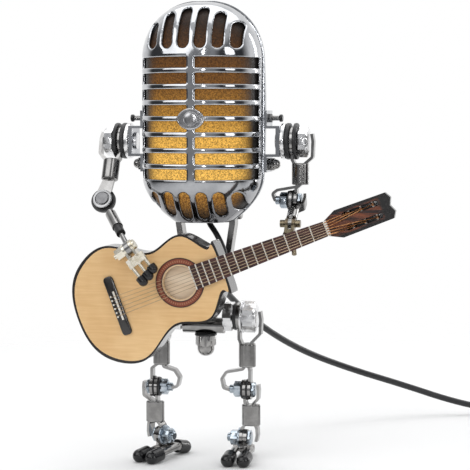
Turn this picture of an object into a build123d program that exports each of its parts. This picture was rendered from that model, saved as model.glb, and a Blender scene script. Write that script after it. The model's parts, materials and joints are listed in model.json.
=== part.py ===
"""A desk lamp in the shape of a robot that plays a guitar.

The robot's head is a vintage microphone with a bulb behind its grille, and its limbs are
bolts, nuts, washers and crimped lugs. Lengths are in millimetres, the robot faces -Y and
+Z is up. The lamp is modelled about the robot's own upright axis and then moved, so that the
object without its cord stands centred on the origin.
"""

import os
from math import cos, radians, sin, tan

from build123d import *

# ---------------------------------------------------------------- driving dimensions
# Whole object
ROBOT_X = -18.2  # the robot's axis, from the middle of the footprint
ROBOT_Y = 3.7
FIT = 0.05  # radial clearance of a pin in its eye
GAP = 0.3  # clearance between pieces that move past each other

# Head
HEAD_HALF_WIDTH = 27.6
HEAD_HALF_DEPTH = 29.5
HEAD_SQUARENESS = 2.3  # exponent of the plan's superellipse
HEAD_TOP = 210.3
HEAD_SIDES_TOP = 183.5
HEAD_SIDES_BOTTOM = 133.0
HEAD_BOTTOM = 110.6
HEAD_BOTTOM_SHARE = 0.47  # the mouth's width as a share of the head's
SHELL_WALL = 1.5
CLOTH_INSET = 1.9
CLOTH_THICKNESS = 0.5
SEAM_HALF = 1.2
SEAM_PROUD = 0.6
SECTION_POINTS = 24
CURVE_STEPS = 6

# Grille
MIDDLE_BAR = 2.9
ROW_COUNT = 8
ROW_PITCH = 7.42
ROW_SLOT = 4.9
ROW_BOTTOM = 129.2
FRONT_SIDE_WALL = 6.2  # wall left between a row's end and the seam
REAR_SIDE_WALL = 11.0
FLUTE_COUNT = 6
FLUTE_PITCH = 8.2
FLUTE_WIDTH = 4.8
CROWN_FLUTE_BOTTOM = 188.6
CROWN_FLUTE_TOP = 207.5
CROWN_FLUTE_DROP = 0.0185  # how fast the outer flutes end lower, per millimetre
FOOT_FLUTE_TOP = 124.6
FOOT_FLUTE_BOTTOM = 111.8
FOOT_FLUTE_RISE = 0.012

# Badge, screws and lamp inside the head
BADGE_Z = 157.3
BADGE_WIDTH = 12.8
BADGE_HEIGHT = 10.5
BADGE_DISC = 7.0
BADGE_SEAT = 0.5  # how deep the boss is let into the middle bar
BADGE_RIM = 0.5
BADGE_STEP = 0.8
BADGE_GROOVE = 0.4
BASE_Z = 117.5
BASE_THICKNESS = 2.0
LEAD_HOLE = 4.0
HOLDER_RADIUS = 8.0
HOLDER_HEIGHT = 13.0
HOLDER_BORE = 1.6
BULB_RADIUS = 12.5
BULB_NECK = 6.0

# Neck yoke
PIVOT_Y = 6.0
PIVOT_Z = 114.0
PIVOT_RADIUS = 1.5
LUG_INNER = 8.3
LUG_OUTER = 10.9
YOKE_INNER = 11.2
YOKE_OUTER = 14.0
YOKE_DEPTH = 7.6
YOKE_EYE = 3.8
YOKE_WAIST_Z = 94.0
YOKE_WAIST_INNER = 8.9
YOKE_CROSSBAR_Z = 84.0
YOKE_CROSSBAR_HEIGHT = 4.0
PIVOT_HEAD = 2.6
PIVOT_HEX = 2.6

# Spine and pelvis
SPINE_RADIUS = 5.5
SPINE_Y = 3.0
PELVIS_Z = 62.6
PELVIS_RADIUS = 3.6
CAP_NUT_RADIUS = 4.7
CAP_NUT_LENGTH = 10.2
CAP_NUT_X = 0.8
CAP_NUT_SINK = 0.4
CAP_NUT_SKIRT = 5.4
CAP_NUT_CHAMFER = 0.8
CAP_NUT_DOME = 3.4

# Shoulders
SHOULDER_Y = 5.0
SHOULDER_Z = 147.2
BOLT_RADIUS = 4.0  # M8
BOLT_FLATS = 12.6
BOLT_CORNER = BOLT_FLATS / 2 / cos(radians(30))
STUD_LENGTH = 4.6
BRACKET_EAR = 28.4
BRACKET_SHEET = 1.2
BRACKET_WEB = 33.6
BRACKET_WEB_SHEET = 1.8
BRACKET_HALF_HEIGHT = 7.0
BRACKET_EAR_HEIGHT = 7.0
BRACKET_DEPTH = 14.0
SHOULDER_WASHER = 37.4
SHOULDER_EYE = 39.7
EYE_SHEET = 1.3
SHOULDER_HEAD = 43.0
SHOULDER_HEAD_END = 48.0
BIG_WASHER_RADIUS = 8.3
ZINC_WASHER_RADIUS = 8.2
ARM_X = 43.9

# Arms
PRONG_WIDTH = 4.4
PRONG_SHEET = 1.3
FERRULE_RADIUS = 3.5
ARM_LENGTH = 29.5
LEFT_ARM_SWING = 25.0  # degrees forward
ARM_FERRULE_TOP = 10.0
ARM_FERRULE_LENGTH = 9.6
ELBOW_DISC_RADIUS = 4.8
ELBOW_RING_RADIUS = 5.7
ELBOW_LEFT_X = 46.0
BLADE_SHEET = 1.6
SHOULDER_EYE_RADIUS = 6.6
STUD_RADIUS = 1.2
SMALL_FLATS = 5.5
PIN_EYE_RADIUS = 4.6
ELBOW_RIGHT_X = 41.2
ELBOW_BOW = 9.9
KNEE_BOW = 12.2
PIN_END = 8.8
PIN_NUT_FAR = 6.6
PIN_NUT_NEAR = 3.0
LOWER_EYE = -2.0
UPPER_EYE = 0.3
PIN_HEAD = 1.6
PIN_HEAD_END = 3.5
WRIST_LEFT = (-26.8, -32.6, 100.4)
FINGERTIPS_LEFT = (-16.9, -35.4, 87.0)
WRIST_AXIS = (0.87, 0.0, 0.5)
PALM_TOP = 4.6
FINGERTIP_RADIUS = 2.2
ELBOW_RISE = 2.6
FOREARM_LEAN = 55.0
FOREARM_RIGHT = 17.0
HAND_LEAN = 37.0
HAND_RIGHT = 16.5
KNEE_RIGHT_X = 20.8
KNEE_LEFT_X = 23.6
THIGH_FERRULE_LENGTH = 10.6
ANKLE_RIGHT_X = 20.3
ANKLE_LEFT_X = 21.6
SHIN_OFFSET = 1.8
ANKLE_LOOP = 5.0
ANKLE_PIN_END = 9.2
ANKLE_NUT_FAR = 7.6
TOE_BAR_Y = 5.6
TOE_BAR_Z = 5.0
TOE_INNER = 6.4
TOE_OUTER = 0.9
TOE_TIP_Y = 13.4
HEEL_X = -3.0
HEEL_Y = 15.5
FINGERS_LEFT = ((-3.4, -2.6, 0.6), (0.2, 0.9, 1.2), (3.6, 4.2, 2.6))

# Small hardware (M4)
PIN_RADIUS = 2.0
PIN_FLATS = 6.4

# Hips, knees and ankles
HIP_X = 20.3
HIP_Z = 67.0
HIP_NUT = 9.6
HIP_NUT_END = 14.4
HIP_RUBBER_END = 16.0
HIP_EYE_END = 17.5
HIP_WASHER_END = 18.5
HIP_HEAD_END = 24.9
THIGH_FERRULE_TOP = 12.4
KNEE_Z = 33.4
SHIN_FERRULE_TOP = 6.9
SHIN_FERRULE_LENGTH = 9.6
ANKLE_Z = 11.0
LEFT_FOOT_TURN = -24.0  # degrees, toes outward
CAP_RADIUS = 3.15
CAP_LENGTH = 9.4
SOLE_FLAT = 0.3
TOE_RADIUS = 2.2

# Guitar
GUITAR_TILT = 20.9
HOLE_X = -4.5
HOLE_Z = 84.9
GUITAR_FRONT = 28.0  # how far its face stands in front of the robot's axis
GUITAR_THICKNESS = 13.0
TOP_SHEET = 1.2
GUITAR_WALL = 1.4
BINDING = 1.0
TAIL_U = -50.5
HEEL_U = 21.0
HOLE_RADIUS = 7.5
LOWER_BOUT_HALF = 27.2
UPPER_BOUT_HALF = 19.6
WAIST_HALF = 17.4
LOWER_BOUT_U = -27.5
WAIST_U = -7.0
UPPER_BOUT_U = 8.5
MOUNT_Z = 76.0
ROSETTE_RADIUS = 11.1
ROSETTE_SHEET = 0.3
BRIDGE_U = -30.6
BRIDGE_LENGTH = 27.5
BRIDGE_WIDTH = 4.6
BRIDGE_HEIGHT = 2.0
SADDLE_LENGTH = 13.5
SADDLE_WIDTH = 0.8
SADDLE_SHIFT = 0.7
BOARD_START_U = 6.4
NUT_U = 70.0
BOARD_HALF_END = 5.5
BOARD_HALF_NUT = 3.4
BOARD_HEIGHT = 1.6
FRET_COUNT = 14
SCALE_LENGTH = 114.0
FRET_WIDTH = 0.55
FRET_HEIGHT = 0.35
NUT_WIDTH = 1.4
NECK_DEPTH = 5.2
STRING_COUNT = 6
STRING_RADIUS = 0.22
STRING_LIFT = 2.55
STRING_SPREAD_BRIDGE = 1.75
STRING_SPREAD_NUT = 1.05
HEADSTOCK_LENGTH = 31.0
HEADSTOCK_HALF = 6.3
HEADSTOCK_THICKNESS = 4.0
TUNER_RADIUS = 0.9
TUNER_REACH = 9.4

# Cord
CORD_RADIUS = 1.6
ROUTE_TO_SWITCH = [
    (1.0, 13.0, 79.0),
    (1.0, 27.0, 79.0),
    (6.0, 46.0, 67.0),
    (16.0, 64.0, 53.0),
    (32.0, 88.0, 38.5),
    (54.0, 111.0, 26.5),
    (79.0, 128.0, 16.5),
    (104.0, 138.0, 7.0),
    (128.0, 140.0, 2.6),
    (144.0, 130.0, 1.9),
    (152.0, 115.0, 2.6),
    (152.0, 102.0, 2.6),
]
ROUTE_TO_COIL = [(152.0, 56.0, 2.6), (152.0, 43.0, 2.6), (151.4, 31.0, 2.2)]
PLUG_START = (190.0, 40.0)
COIL_CENTRE = (169.6, 25.0)
COIL_RADIUS = 17.6
COIL_BUNDLE = 12.4
COIL_HEIGHT = 9.6
NECK_LEAD_RADIUS = 1.3
NECK_LEAD = [
    (0.0, 6.0, 118.0),
    (0.8, 4.0, 110.5),
    (6.4, -1.0, 104.5),
    (10.4, -2.6, 97.0),
    (10.4, -2.0, 88.0),
    (9.4, 1.0, 80.6),
    (5.4, 2.6, 78.6),
]
ROCKER_WIDTH = 8.0
ROCKER_LENGTH = 13.0
ROCKER_DEPTH = 5.0
PLUG_WIDTH = 15.0
PLUG_BODY = 24.0
PLUG_HEIGHT = 8.0
PLUG_METAL = 12.0
PLUG_REACH = 13.0
SWITCH_LENGTH = 46.0
SWITCH_WIDTH = 16.0
SWITCH_HEIGHT = 11.0

SIDES = {"left": -1, "right": 1}  # left and right as the viewer sees them


# ---------------------------------------------------------------- helpers
def disc_x(x_from, x_to, y, z, radius, bore=0.0):
    """A washer, pin or tube whose axis is along X."""
    with BuildPart() as piece:
        with BuildSketch(Plane.YZ.offset(min(x_from, x_to))):
            with Locations((y, z)):
                Circle(radius)
                if bore:
                    Circle(bore, mode=Mode.SUBTRACT)
        extrude(amount=abs(x_to - x_from))
    return piece.part


def hex_x(x_from, x_to, y, z, flats, bore=0.0, turn=0.0):
    """A hexagon nut or bolt head whose axis is along X, cut from bar."""
    corner = flats / 2 / cos(radians(30))
    low, high = min(x_from, x_to), max(x_from, x_to)
    with BuildPart() as piece:
        with BuildSketch(Plane.YZ.offset(low)):
            with Locations((y, z)):
                RegularPolygon(corner, 6, rotation=turn)
                if bore:
                    Circle(bore, mode=Mode.SUBTRACT)
        extrude(amount=high - low)
    return piece.part


def disc_y(x, z, y_from, y_to, radius, bore=0.0):
    """A washer or pin whose axis is along Y."""
    with BuildPart() as piece:
        with BuildSketch(Plane.XZ.offset(-max(y_from, y_to))):
            with Locations((x, z)):
                Circle(radius)
                if bore:
                    Circle(bore, mode=Mode.SUBTRACT)
        extrude(amount=abs(y_to - y_from))
    return piece.part


def strip(points, bend, sheet, width, y=0.0):
    """A bent strip seen edge on from the front: its path is in X and Z, its width in Y."""
    with BuildPart() as piece:
        with BuildSketch(Plane.XZ.offset(-y)):
            with BuildLine():
                FilletPolyline(*points, radius=bend)
            trace(line_width=sheet)
        extrude(amount=width / 2, both=True)
    return piece.part


def join(*parts):
    """One solid out of parts that overlap or touch."""
    with BuildPart() as piece:
        for part in parts:
            add(part)
    return piece.part


def cut(part, *tools):
    """A part less some tools."""
    with BuildPart() as piece:
        add(part)
        for tool in tools:
            add(tool, mode=Mode.SUBTRACT)
    return piece.part


def box(x_span, y_span, z_span):
    """A block between two values on each axis."""
    with BuildPart() as piece:
        with BuildSketch(Plane.XY.offset(z_span[0])):
            with Locations(((x_span[0] + x_span[1]) / 2, (y_span[0] + y_span[1]) / 2)):
                Rectangle(abs(x_span[1] - x_span[0]), abs(y_span[1] - y_span[0]))
        extrude(amount=z_span[1] - z_span[0])
    return piece.part


made = {}


def keep(name, part, frame=Location()):
    """Names a finished piece, puts it in its place on the object and writes it down."""
    place = Location((ROBOT_X, ROBOT_Y, 0)) * frame
    solids = [solid.moved(place) for solid in part.solids()]
    placed = solids[0] if len(solids) == 1 else Compound(children=solids)
    placed.label = name
    made[name] = placed
    export_step(placed, f"parts/{name}.step")


# ---------------------------------------------------------------- head
def head_section(half_width, half_depth):
    """Points of the head's plan, a superellipse."""
    power = 2 / HEAD_SQUARENESS
    points = []
    for step in range(SECTION_POINTS):
        angle = radians(360 * step / SECTION_POINTS)
        x = abs(cos(angle)) ** power * (1 if cos(angle) >= 0 else -1)
        y = abs(sin(angle)) ** power * (1 if sin(angle) >= 0 else -1)
        points.append((half_width * x, half_depth * y))
    return points


def head_levels(inset):
    """Heights of the head's sections, each with its width as a share of the full width."""
    full = HEAD_HALF_WIDTH
    share = (full - inset) / full
    crown = HEAD_TOP - HEAD_SIDES_TOP - inset
    chin = HEAD_SIDES_BOTTOM - HEAD_BOTTOM
    levels = []
    for step in range(CURVE_STEPS, -1, -1):
        drop = step / CURVE_STEPS
        narrow = HEAD_BOTTOM_SHARE + (1 - HEAD_BOTTOM_SHARE) * (1 - drop**2.1)
        levels.append((HEAD_SIDES_BOTTOM - chin * drop, (narrow * full - inset) / full))
    for step in range(CURVE_STEPS + 1):
        angle = radians(step * 82 / CURVE_STEPS)
        levels.append((HEAD_SIDES_TOP + crown * sin(angle), share * cos(angle) ** 0.86))
    return levels


def head_solid(inset):
    """The solid that the head's wall follows, a given distance inside its outer face."""
    with BuildPart() as solid:
        for z, share in head_levels(inset):
            with BuildSketch(Plane.XY.offset(z)):
                with BuildLine():
                    Spline(
                        *head_section(HEAD_HALF_WIDTH * share, HEAD_HALF_DEPTH * share),
                        periodic=True,
                    )
                make_face()
        loft()
    return solid.part


def yoke_room(start):
    """The space that the neck's yoke takes in the sides of the head's mouth."""
    with BuildPart() as room:
        with BuildSketch(Plane.XY.offset(HEAD_BOTTOM - 2)):
            for side in SIDES.values():
                with Locations((side * (start + 10), PIVOT_Y)):
                    Rectangle(20, YOKE_DEPTH + 2.4)
        extrude(amount=PIVOT_Z + YOKE_EYE + 2.0 - HEAD_BOTTOM + 2)
    return room.part


def grille_slots(facing):
    """Every opening of one grille: rows, crown flutes and chin flutes. Facing is -1 for the front."""
    reach = HEAD_HALF_DEPTH + 5
    side_wall = FRONT_SIDE_WALL if facing < 0 else REAR_SIDE_WALL
    with BuildPart() as slots:
        with BuildSketch(Plane.XZ.offset(-facing * side_wall)):
            for row in range(ROW_COUNT):
                z = ROW_BOTTOM + ROW_SLOT / 2 + row * ROW_PITCH
                for side in SIDES.values():
                    with Locations((side * (MIDDLE_BAR / 2 + reach / 2), z)):
                        Rectangle(reach, ROW_SLOT)
            for flute in range(FLUTE_COUNT):
                x = (flute - (FLUTE_COUNT - 1) / 2) * FLUTE_PITCH
                top = CROWN_FLUTE_TOP - CROWN_FLUTE_DROP * x * x
                tall = top - CROWN_FLUTE_BOTTOM
                with Locations((x, CROWN_FLUTE_BOTTOM + tall / 2)):
                    SlotOverall(tall, FLUTE_WIDTH, rotation=90)
                low = FOOT_FLUTE_BOTTOM + FOOT_FLUTE_RISE * x * x
                tall = FOOT_FLUTE_TOP - low
                with Locations((x, low + tall / 2)):
                    SlotOverall(tall, FLUTE_WIDTH, rotation=90)
        extrude(amount=-facing * reach)
    return slots.part


def half_space(facing, start):
    """Everything in front of, or behind, the seam."""
    reach = HEAD_HALF_WIDTH * 2
    y_span = (start, reach) if facing > 0 else (-reach, -start)
    return box((-reach, reach), y_span, (HEAD_BOTTOM - 5, HEAD_TOP + 5))


def make_head():
    outer = head_solid(0.0)
    inner = head_solid(SHELL_WALL)
    room = yoke_room(LUG_INNER - GAP)
    base_room = yoke_room(LUG_OUTER)
    mouth = box((-40, 40), (-40, 40), (HEAD_BOTTOM - 5, HEAD_BOTTOM + 0.6))
    for name, facing in (("front", -1), ("rear", 1)):
        with BuildPart() as shell:
            add(outer)
            add(inner, mode=Mode.SUBTRACT)
            add(mouth, mode=Mode.SUBTRACT)
            add(half_space(facing, SEAM_HALF), mode=Mode.INTERSECT)
            add(grille_slots(facing), mode=Mode.SUBTRACT)
            add(room, mode=Mode.SUBTRACT)
            if facing < 0:
                seat_end = HEAD_HALF_DEPTH + 2 * BADGE_RIM
                add(badge_seat(HEAD_HALF_DEPTH - BADGE_SEAT, seat_end), mode=Mode.SUBTRACT)
        keep(f"head_grille_{name}", shell.part)
    with BuildPart() as band:
        add(head_solid(-SEAM_PROUD))
        add(inner, mode=Mode.SUBTRACT)
        add(mouth, mode=Mode.SUBTRACT)
        add(box((-40, 40), (-SEAM_HALF, SEAM_HALF), (HEAD_BOTTOM, 230)), mode=Mode.INTERSECT)
        add(room, mode=Mode.SUBTRACT)
    keep("head_seam_band", band.part)
    make_shoulders(join(outer, band.part))
    above_base = box((-40, 40), (-40, 40), (BASE_Z + BASE_THICKNESS, 230))
    with BuildPart() as cloth:
        add(head_solid(CLOTH_INSET))
        add(head_solid(CLOTH_INSET + CLOTH_THICKNESS), mode=Mode.SUBTRACT)
        add(above_base, mode=Mode.INTERSECT)
        add(room, mode=Mode.SUBTRACT)
    keep("grille_cloth", cloth.part)
    with BuildPart() as base:
        add(inner)
        add(
            box((-40, 40), (-40, 40), (BASE_Z, BASE_Z + BASE_THICKNESS)),
            mode=Mode.INTERSECT,
        )
        add(base_room, mode=Mode.SUBTRACT)
        for side in SIDES.values():
            with BuildSketch(Plane.YZ.offset(side * LUG_INNER)):
                with Locations((PIVOT_Y, PIVOT_Z)):
                    Circle(YOKE_EYE)
                with Locations((PIVOT_Y, (PIVOT_Z + BASE_Z) / 2)):
                    Rectangle(YOKE_EYE * 2, BASE_Z - PIVOT_Z)
            extrude(amount=side * (LUG_OUTER - LUG_INNER))
        with BuildSketch(Plane.XY.offset(BASE_Z)):
            with Locations((0, PIVOT_Y)):
                Circle(LEAD_HOLE)
        extrude(amount=BASE_THICKNESS, mode=Mode.SUBTRACT)
        for side in SIDES.values():
            add(
                disc_x(side * LUG_INNER, side * LUG_OUTER, PIVOT_Y, PIVOT_Z, PIVOT_RADIUS),
                mode=Mode.SUBTRACT,
            )
    keep("head_base", base.part)
    make_badge()
    make_bulb()


def badge_seat(start, end, inset=0.0):
    """An upright oval block at the badge, between two distances in front of the head's axis."""
    with BuildPart() as seat:
        with BuildSketch(Plane.XZ.offset(start)):
            with Locations((0, BADGE_Z)):
                Ellipse(BADGE_WIDTH / 2 - inset, BADGE_HEIGHT / 2 - inset)
        extrude(amount=end - start)
    return seat.part


def make_badge():
    """A plain stepped boss let into the middle bar, with a disc in it where a maker's sign would be."""
    face = HEAD_HALF_DEPTH
    ring = face + BADGE_RIM
    crown = ring + BADGE_RIM
    boss = join(badge_seat(face - BADGE_SEAT, ring), badge_seat(ring, crown, BADGE_STEP))
    with BuildPart() as recess:
        with BuildSketch(Plane.XZ.offset(ring)):
            with Locations((0, BADGE_Z)):
                Circle(BADGE_DISC / 2)
                Circle(BADGE_DISC / 2 - BADGE_GROOVE, mode=Mode.SUBTRACT)
        extrude(amount=BADGE_STEP)
    keep("badge", cut(boss, recess.part))


def make_bulb():
    foot = BASE_Z + BASE_THICKNESS
    with BuildPart() as holder:
        with BuildSketch(Plane.XY.offset(foot)):
            with Locations((0, 0)):
                Circle(HOLDER_RADIUS)
            with Locations((0, PIVOT_Y)):
                Circle(HOLDER_BORE, mode=Mode.SUBTRACT)
        extrude(amount=HOLDER_HEIGHT)
    keep("bulb_holder", holder.part)
    start = foot + HOLDER_HEIGHT
    middle = start + 20
    with BuildPart() as bulb:
        with BuildSketch(Plane.XZ):
            with BuildLine():
                Line((0, start), (BULB_NECK, start))
                Line((BULB_NECK, start), (BULB_NECK, start + 5))
                Spline(
                    (BULB_NECK, start + 5),
                    (BULB_RADIUS, middle),
                    (0, middle + BULB_RADIUS),
                    tangents=((0.3, 1), (-1, 0)),
                )
                Line((0, middle + BULB_RADIUS), (0, start))
            make_face()
        revolve(axis=Axis.Z)
    keep("bulb", bulb.part)


# ---------------------------------------------------------------- neck and body
def make_yoke():
    with BuildPart() as yoke:
        with BuildSketch(Plane.XZ.offset(-PIVOT_Y)):
            for side in SIDES.values():
                with BuildLine():
                    Polyline(
                        (side * YOKE_OUTER, PIVOT_Z + YOKE_EYE),
                        (side * YOKE_OUTER, PIVOT_Z - YOKE_EYE - 1),
                        (side * (YOKE_WAIST_INNER + 2.8), YOKE_WAIST_Z),
                        (side * (YOKE_WAIST_INNER + 2.8), YOKE_CROSSBAR_Z),
                        (0, YOKE_CROSSBAR_Z),
                        (0, YOKE_CROSSBAR_Z + YOKE_CROSSBAR_HEIGHT),
                        (side * YOKE_WAIST_INNER, YOKE_CROSSBAR_Z + YOKE_CROSSBAR_HEIGHT),
                        (side * YOKE_WAIST_INNER, YOKE_WAIST_Z),
                        (side * YOKE_INNER, PIVOT_Z - YOKE_EYE - 1),
                        (side * YOKE_INNER, PIVOT_Z + YOKE_EYE),
                        close=True,
                    )
                make_face()
        extrude(amount=YOKE_DEPTH / 2, both=True)
        with BuildSketch(Plane.YZ.offset(-YOKE_OUTER)):
            with Locations((PIVOT_Y, (PIVOT_Z + YOKE_CROSSBAR_Z) / 2 - 2)):
                Rectangle(YOKE_DEPTH, PIVOT_Z - YOKE_CROSSBAR_Z + 4)
            with Locations((PIVOT_Y, PIVOT_Z)):
                Circle(YOKE_EYE)
            with Locations((PIVOT_Y, PIVOT_Z)):
                Circle(PIVOT_RADIUS + FIT, mode=Mode.SUBTRACT)
        extrude(amount=2 * YOKE_OUTER, mode=Mode.INTERSECT)
    keep("neck_yoke", yoke.part)
    screws = []
    for side in SIDES.values():
        shank = disc_x(side * LUG_INNER, side * YOKE_OUTER, PIVOT_Y, PIVOT_Z, PIVOT_RADIUS)
        head = hex_x(
            side * (YOKE_OUTER + FIT), side * (YOKE_OUTER + PIVOT_HEAD), PIVOT_Y, PIVOT_Z, PIVOT_HEX * 2
        )
        stem = disc_x(
            side * YOKE_OUTER, side * (YOKE_OUTER + 1), PIVOT_Y, PIVOT_Z, PIVOT_RADIUS
        )
        screws.append(join(shank, stem, head))
    keep("neck_pivot_screws", Compound(children=screws))


def make_torso():
    top = YOKE_CROSSBAR_Z
    with BuildPart() as spine:
        with BuildSketch(Plane.XY.offset(PELVIS_Z)):
            with Locations((0, SPINE_Y)):
                Circle(SPINE_RADIUS)
        extrude(amount=top - PELVIS_Z)
        with BuildSketch(Plane.YZ.offset(-HIP_NUT)):
            with Locations((0, PELVIS_Z)):
                Circle(PELVIS_RADIUS)
        extrude(amount=2 * HIP_NUT)
    keep("torso_tube", join(spine.part, guitar_mount(spine.part)))
    start = PELVIS_Z - PELVIS_RADIUS - CAP_NUT_SINK
    with BuildPart() as cap:
        with BuildSketch(Plane.XY.offset(start - CAP_NUT_SKIRT)):
            Circle(CAP_NUT_RADIUS)
        extrude(amount=CAP_NUT_SKIRT)
        chamfer(cap.faces().sort_by(Axis.Z)[0].edges(), length=CAP_NUT_CHAMFER)
        with BuildSketch(Plane.XY.offset(start - CAP_NUT_LENGTH)):
            Circle(CAP_NUT_RADIUS - CAP_NUT_CHAMFER)
        extrude(amount=CAP_NUT_LENGTH - CAP_NUT_SKIRT)
        fillet(cap.faces().sort_by(Axis.Z)[0].edges(), radius=CAP_NUT_DOME)
    keep("pelvis_cap_nut", cap.part, Location((CAP_NUT_X, 0, 0)))
    make_hips()


def guitar_mount(spine):
    """The post and flange on the spine that the guitar's back is fixed to."""
    back = -GUITAR_FRONT + GUITAR_THICKNESS
    post = disc_y(0, MOUNT_Z, back, SPINE_Y, 3.2)
    flange = disc_y(0, MOUNT_Z, back, back + 1.6, 6.5)
    return cut(join(post, flange), spine)


# ---------------------------------------------------------------- shoulders
def make_shoulders(head):
    pieces = {"shoulder_brackets": [], "shoulder_bolts": [], "shoulder_rubbers": [], "bracket_screws": []}
    for side in SIDES.values():
        pieces["shoulder_brackets"].append(bracket(side, head))
        pieces["bracket_screws"] += bracket_screws(side)
        pieces["shoulder_bolts"].append(shoulder_bolt(side))
        pieces["shoulder_rubbers"] += shoulder_rubbers(side)
    for name, parts in pieces.items():
        keep(name, Compound(children=parts))


def bracket(side, head):
    """A hat-shaped bracket on the head's side."""
    depth = (SHOULDER_Y - BRACKET_DEPTH / 2, SHOULDER_Y + BRACKET_DEPTH / 2)
    high = SHOULDER_Z + BRACKET_HALF_HEIGHT
    low = SHOULDER_Z - BRACKET_HALF_HEIGHT
    web = (side * BRACKET_WEB, side * (BRACKET_WEB + BRACKET_WEB_SHEET))
    with BuildPart() as hat:
        add(box(web, depth, (low, high)))
        for edge, way in ((high, -1), (low, 1)):
            flat = sorted((edge, edge + way * BRACKET_SHEET))
            add(box((side * BRACKET_EAR, web[1]), depth, flat))
            ear = sorted((edge, edge - way * BRACKET_EAR_HEIGHT))
            add(box((side * (HEAD_HALF_WIDTH - 3), side * (BRACKET_EAR + BRACKET_SHEET)), depth, ear))
        add(head, mode=Mode.SUBTRACT)
        add(disc_x(*web, SHOULDER_Y, SHOULDER_Z, BOLT_RADIUS), mode=Mode.SUBTRACT)
    return hat.part


def bracket_screws(side):
    """A stud with a knob above the shoulder and a domed nut below it."""
    face = BRACKET_EAR + BRACKET_SHEET
    reach = BRACKET_HALF_HEIGHT + BRACKET_EAR_HEIGHT / 2
    high, low = SHOULDER_Z + reach, SHOULDER_Z - reach
    stud = disc_x(side * face, side * (face + STUD_LENGTH), SHOULDER_Y, high, STUD_RADIUS)
    knob = disc_x(
        side * (face + STUD_LENGTH), side * (face + STUD_LENGTH + 1.6), SHOULDER_Y, high, STUD_RADIUS + 0.5
    )
    nut = hex_x(side * face, side * (face + 2.6), SHOULDER_Y, low, SMALL_FLATS)
    dome = disc_x(side * (face + 2.6), side * (face + 5.0), SHOULDER_Y, low, SMALL_FLATS * 0.42)
    return [join(stud, knob), join(nut, dome)]


def shoulder_bolt(side):
    """The M8 bolt that an arm turns on, with the zinc washer against the bracket."""
    centre = (SHOULDER_Y, SHOULDER_Z)
    web_end = BRACKET_WEB + BRACKET_WEB_SHEET
    shank = disc_x(side * (BRACKET_WEB - 1.0), side * SHOULDER_HEAD, *centre, BOLT_RADIUS)
    head = hex_x(side * SHOULDER_HEAD, side * SHOULDER_HEAD_END, *centre, BOLT_FLATS, turn=30)
    washer = disc_x(side * web_end, side * SHOULDER_WASHER, *centre, ZINC_WASHER_RADIUS, BOLT_RADIUS)
    return join(shank, head, washer)


def shoulder_rubbers(side):
    centre = (SHOULDER_Y, SHOULDER_Z)
    spans = [
        (SHOULDER_WASHER, SHOULDER_EYE - FIT),
        (SHOULDER_EYE + EYE_SHEET + FIT, SHOULDER_HEAD),
    ]
    return [disc_x(side * a, side * b, *centre, BIG_WASHER_RADIUS, BOLT_RADIUS) for a, b in spans]


# ---------------------------------------------------------------- arms
def shoulder_fork(side):
    """The upper end of an arm about its shoulder: an eye on the bolt, a prong that bows
    round the bolt's head, and the ferrule that holds both."""
    eye_end = SHOULDER_EYE + EYE_SHEET
    eye = disc_x(side * SHOULDER_EYE, side * eye_end, 0, 0, SHOULDER_EYE_RADIUS, BOLT_RADIUS + FIT)
    middle = SHOULDER_EYE + EYE_SHEET / 2
    top = ARM_FERRULE_TOP
    inner = strip(
        [(side * middle, -BOLT_RADIUS - 1), (side * middle, -top + 1.6), (side * (ARM_X - 1.6), -top - 2)],
        1.2,
        PRONG_SHEET,
        PRONG_WIDTH,
    )
    out = SHOULDER_HEAD_END + GAP + PRONG_SHEET / 2 + 0.9
    outer = strip(
        [
            (side * (out - 0.6), 3.4),
            (side * out, 0),
            (side * (out - 0.3), -BOLT_CORNER),
            (side * (ARM_X + 2.2), -top - 0.2),
            (side * (ARM_X + 1.6), -top - 2),
        ],
        1.6,
        PRONG_SHEET,
        PRONG_WIDTH,
    )
    return [eye, inner, outer]


def ferrule(x, top, length, radius, squash=0.82):
    """A crimped sleeve, a little flatter from front to back."""
    with BuildPart() as sleeve:
        with BuildSketch(Plane.XY.offset(top - length)):
            with Locations((x, 0)):
                Ellipse(radius, radius * squash)
        extrude(amount=length)
        fillet(sleeve.faces().sort_by(Axis.Z)[-1].edges(), radius=0.5)
        fillet(sleeve.faces().sort_by(Axis.Z)[0].edges(), radius=0.5)
    return sleeve.part


def make_upper_arms():
    for name, side in SIDES.items():
        frame = arm_frame(side)
        sleeve = ferrule(side * ARM_X, -ARM_FERRULE_TOP, ARM_FERRULE_LENGTH, FERRULE_RADIUS)
        parts = shoulder_fork(side) + [sleeve]
        end = -ARM_FERRULE_TOP - ARM_FERRULE_LENGTH
        if side < 0:
            with BuildPart() as blade:
                with BuildSketch(Plane.XZ.offset(-BLADE_SHEET / 2)):
                    with Locations((side * ELBOW_LEFT_X, -ARM_LENGTH)):
                        Circle(ELBOW_DISC_RADIUS - 0.3)
                    with BuildLine():
                        Polyline(
                            (side * (ARM_X + 2.6), end + 1),
                            (side * (ARM_X - 2.6), end + 1),
                            (side * (ELBOW_LEFT_X - 3.4), -ARM_LENGTH + 2),
                            (side * (ELBOW_LEFT_X + 3.4), -ARM_LENGTH + 2),
                            close=True,
                        )
                    make_face()
                    with Locations((side * ELBOW_LEFT_X, -ARM_LENGTH)):
                        Circle(PIN_RADIUS, mode=Mode.SUBTRACT)
                extrude(amount=BLADE_SHEET)
            parts.append(blade.part)
        else:
            parts += upper_pin_fork(side, ELBOW_RIGHT_X, end, -ARM_LENGTH + ELBOW_RISE, ARM_X, ELBOW_BOW)
            parts = [cut(join(*parts), pin(1, ELBOW_RIGHT_X, -ARM_LENGTH + ELBOW_RISE))]
        keep(f"upper_arm_{name}", join(*parts), frame)


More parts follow.
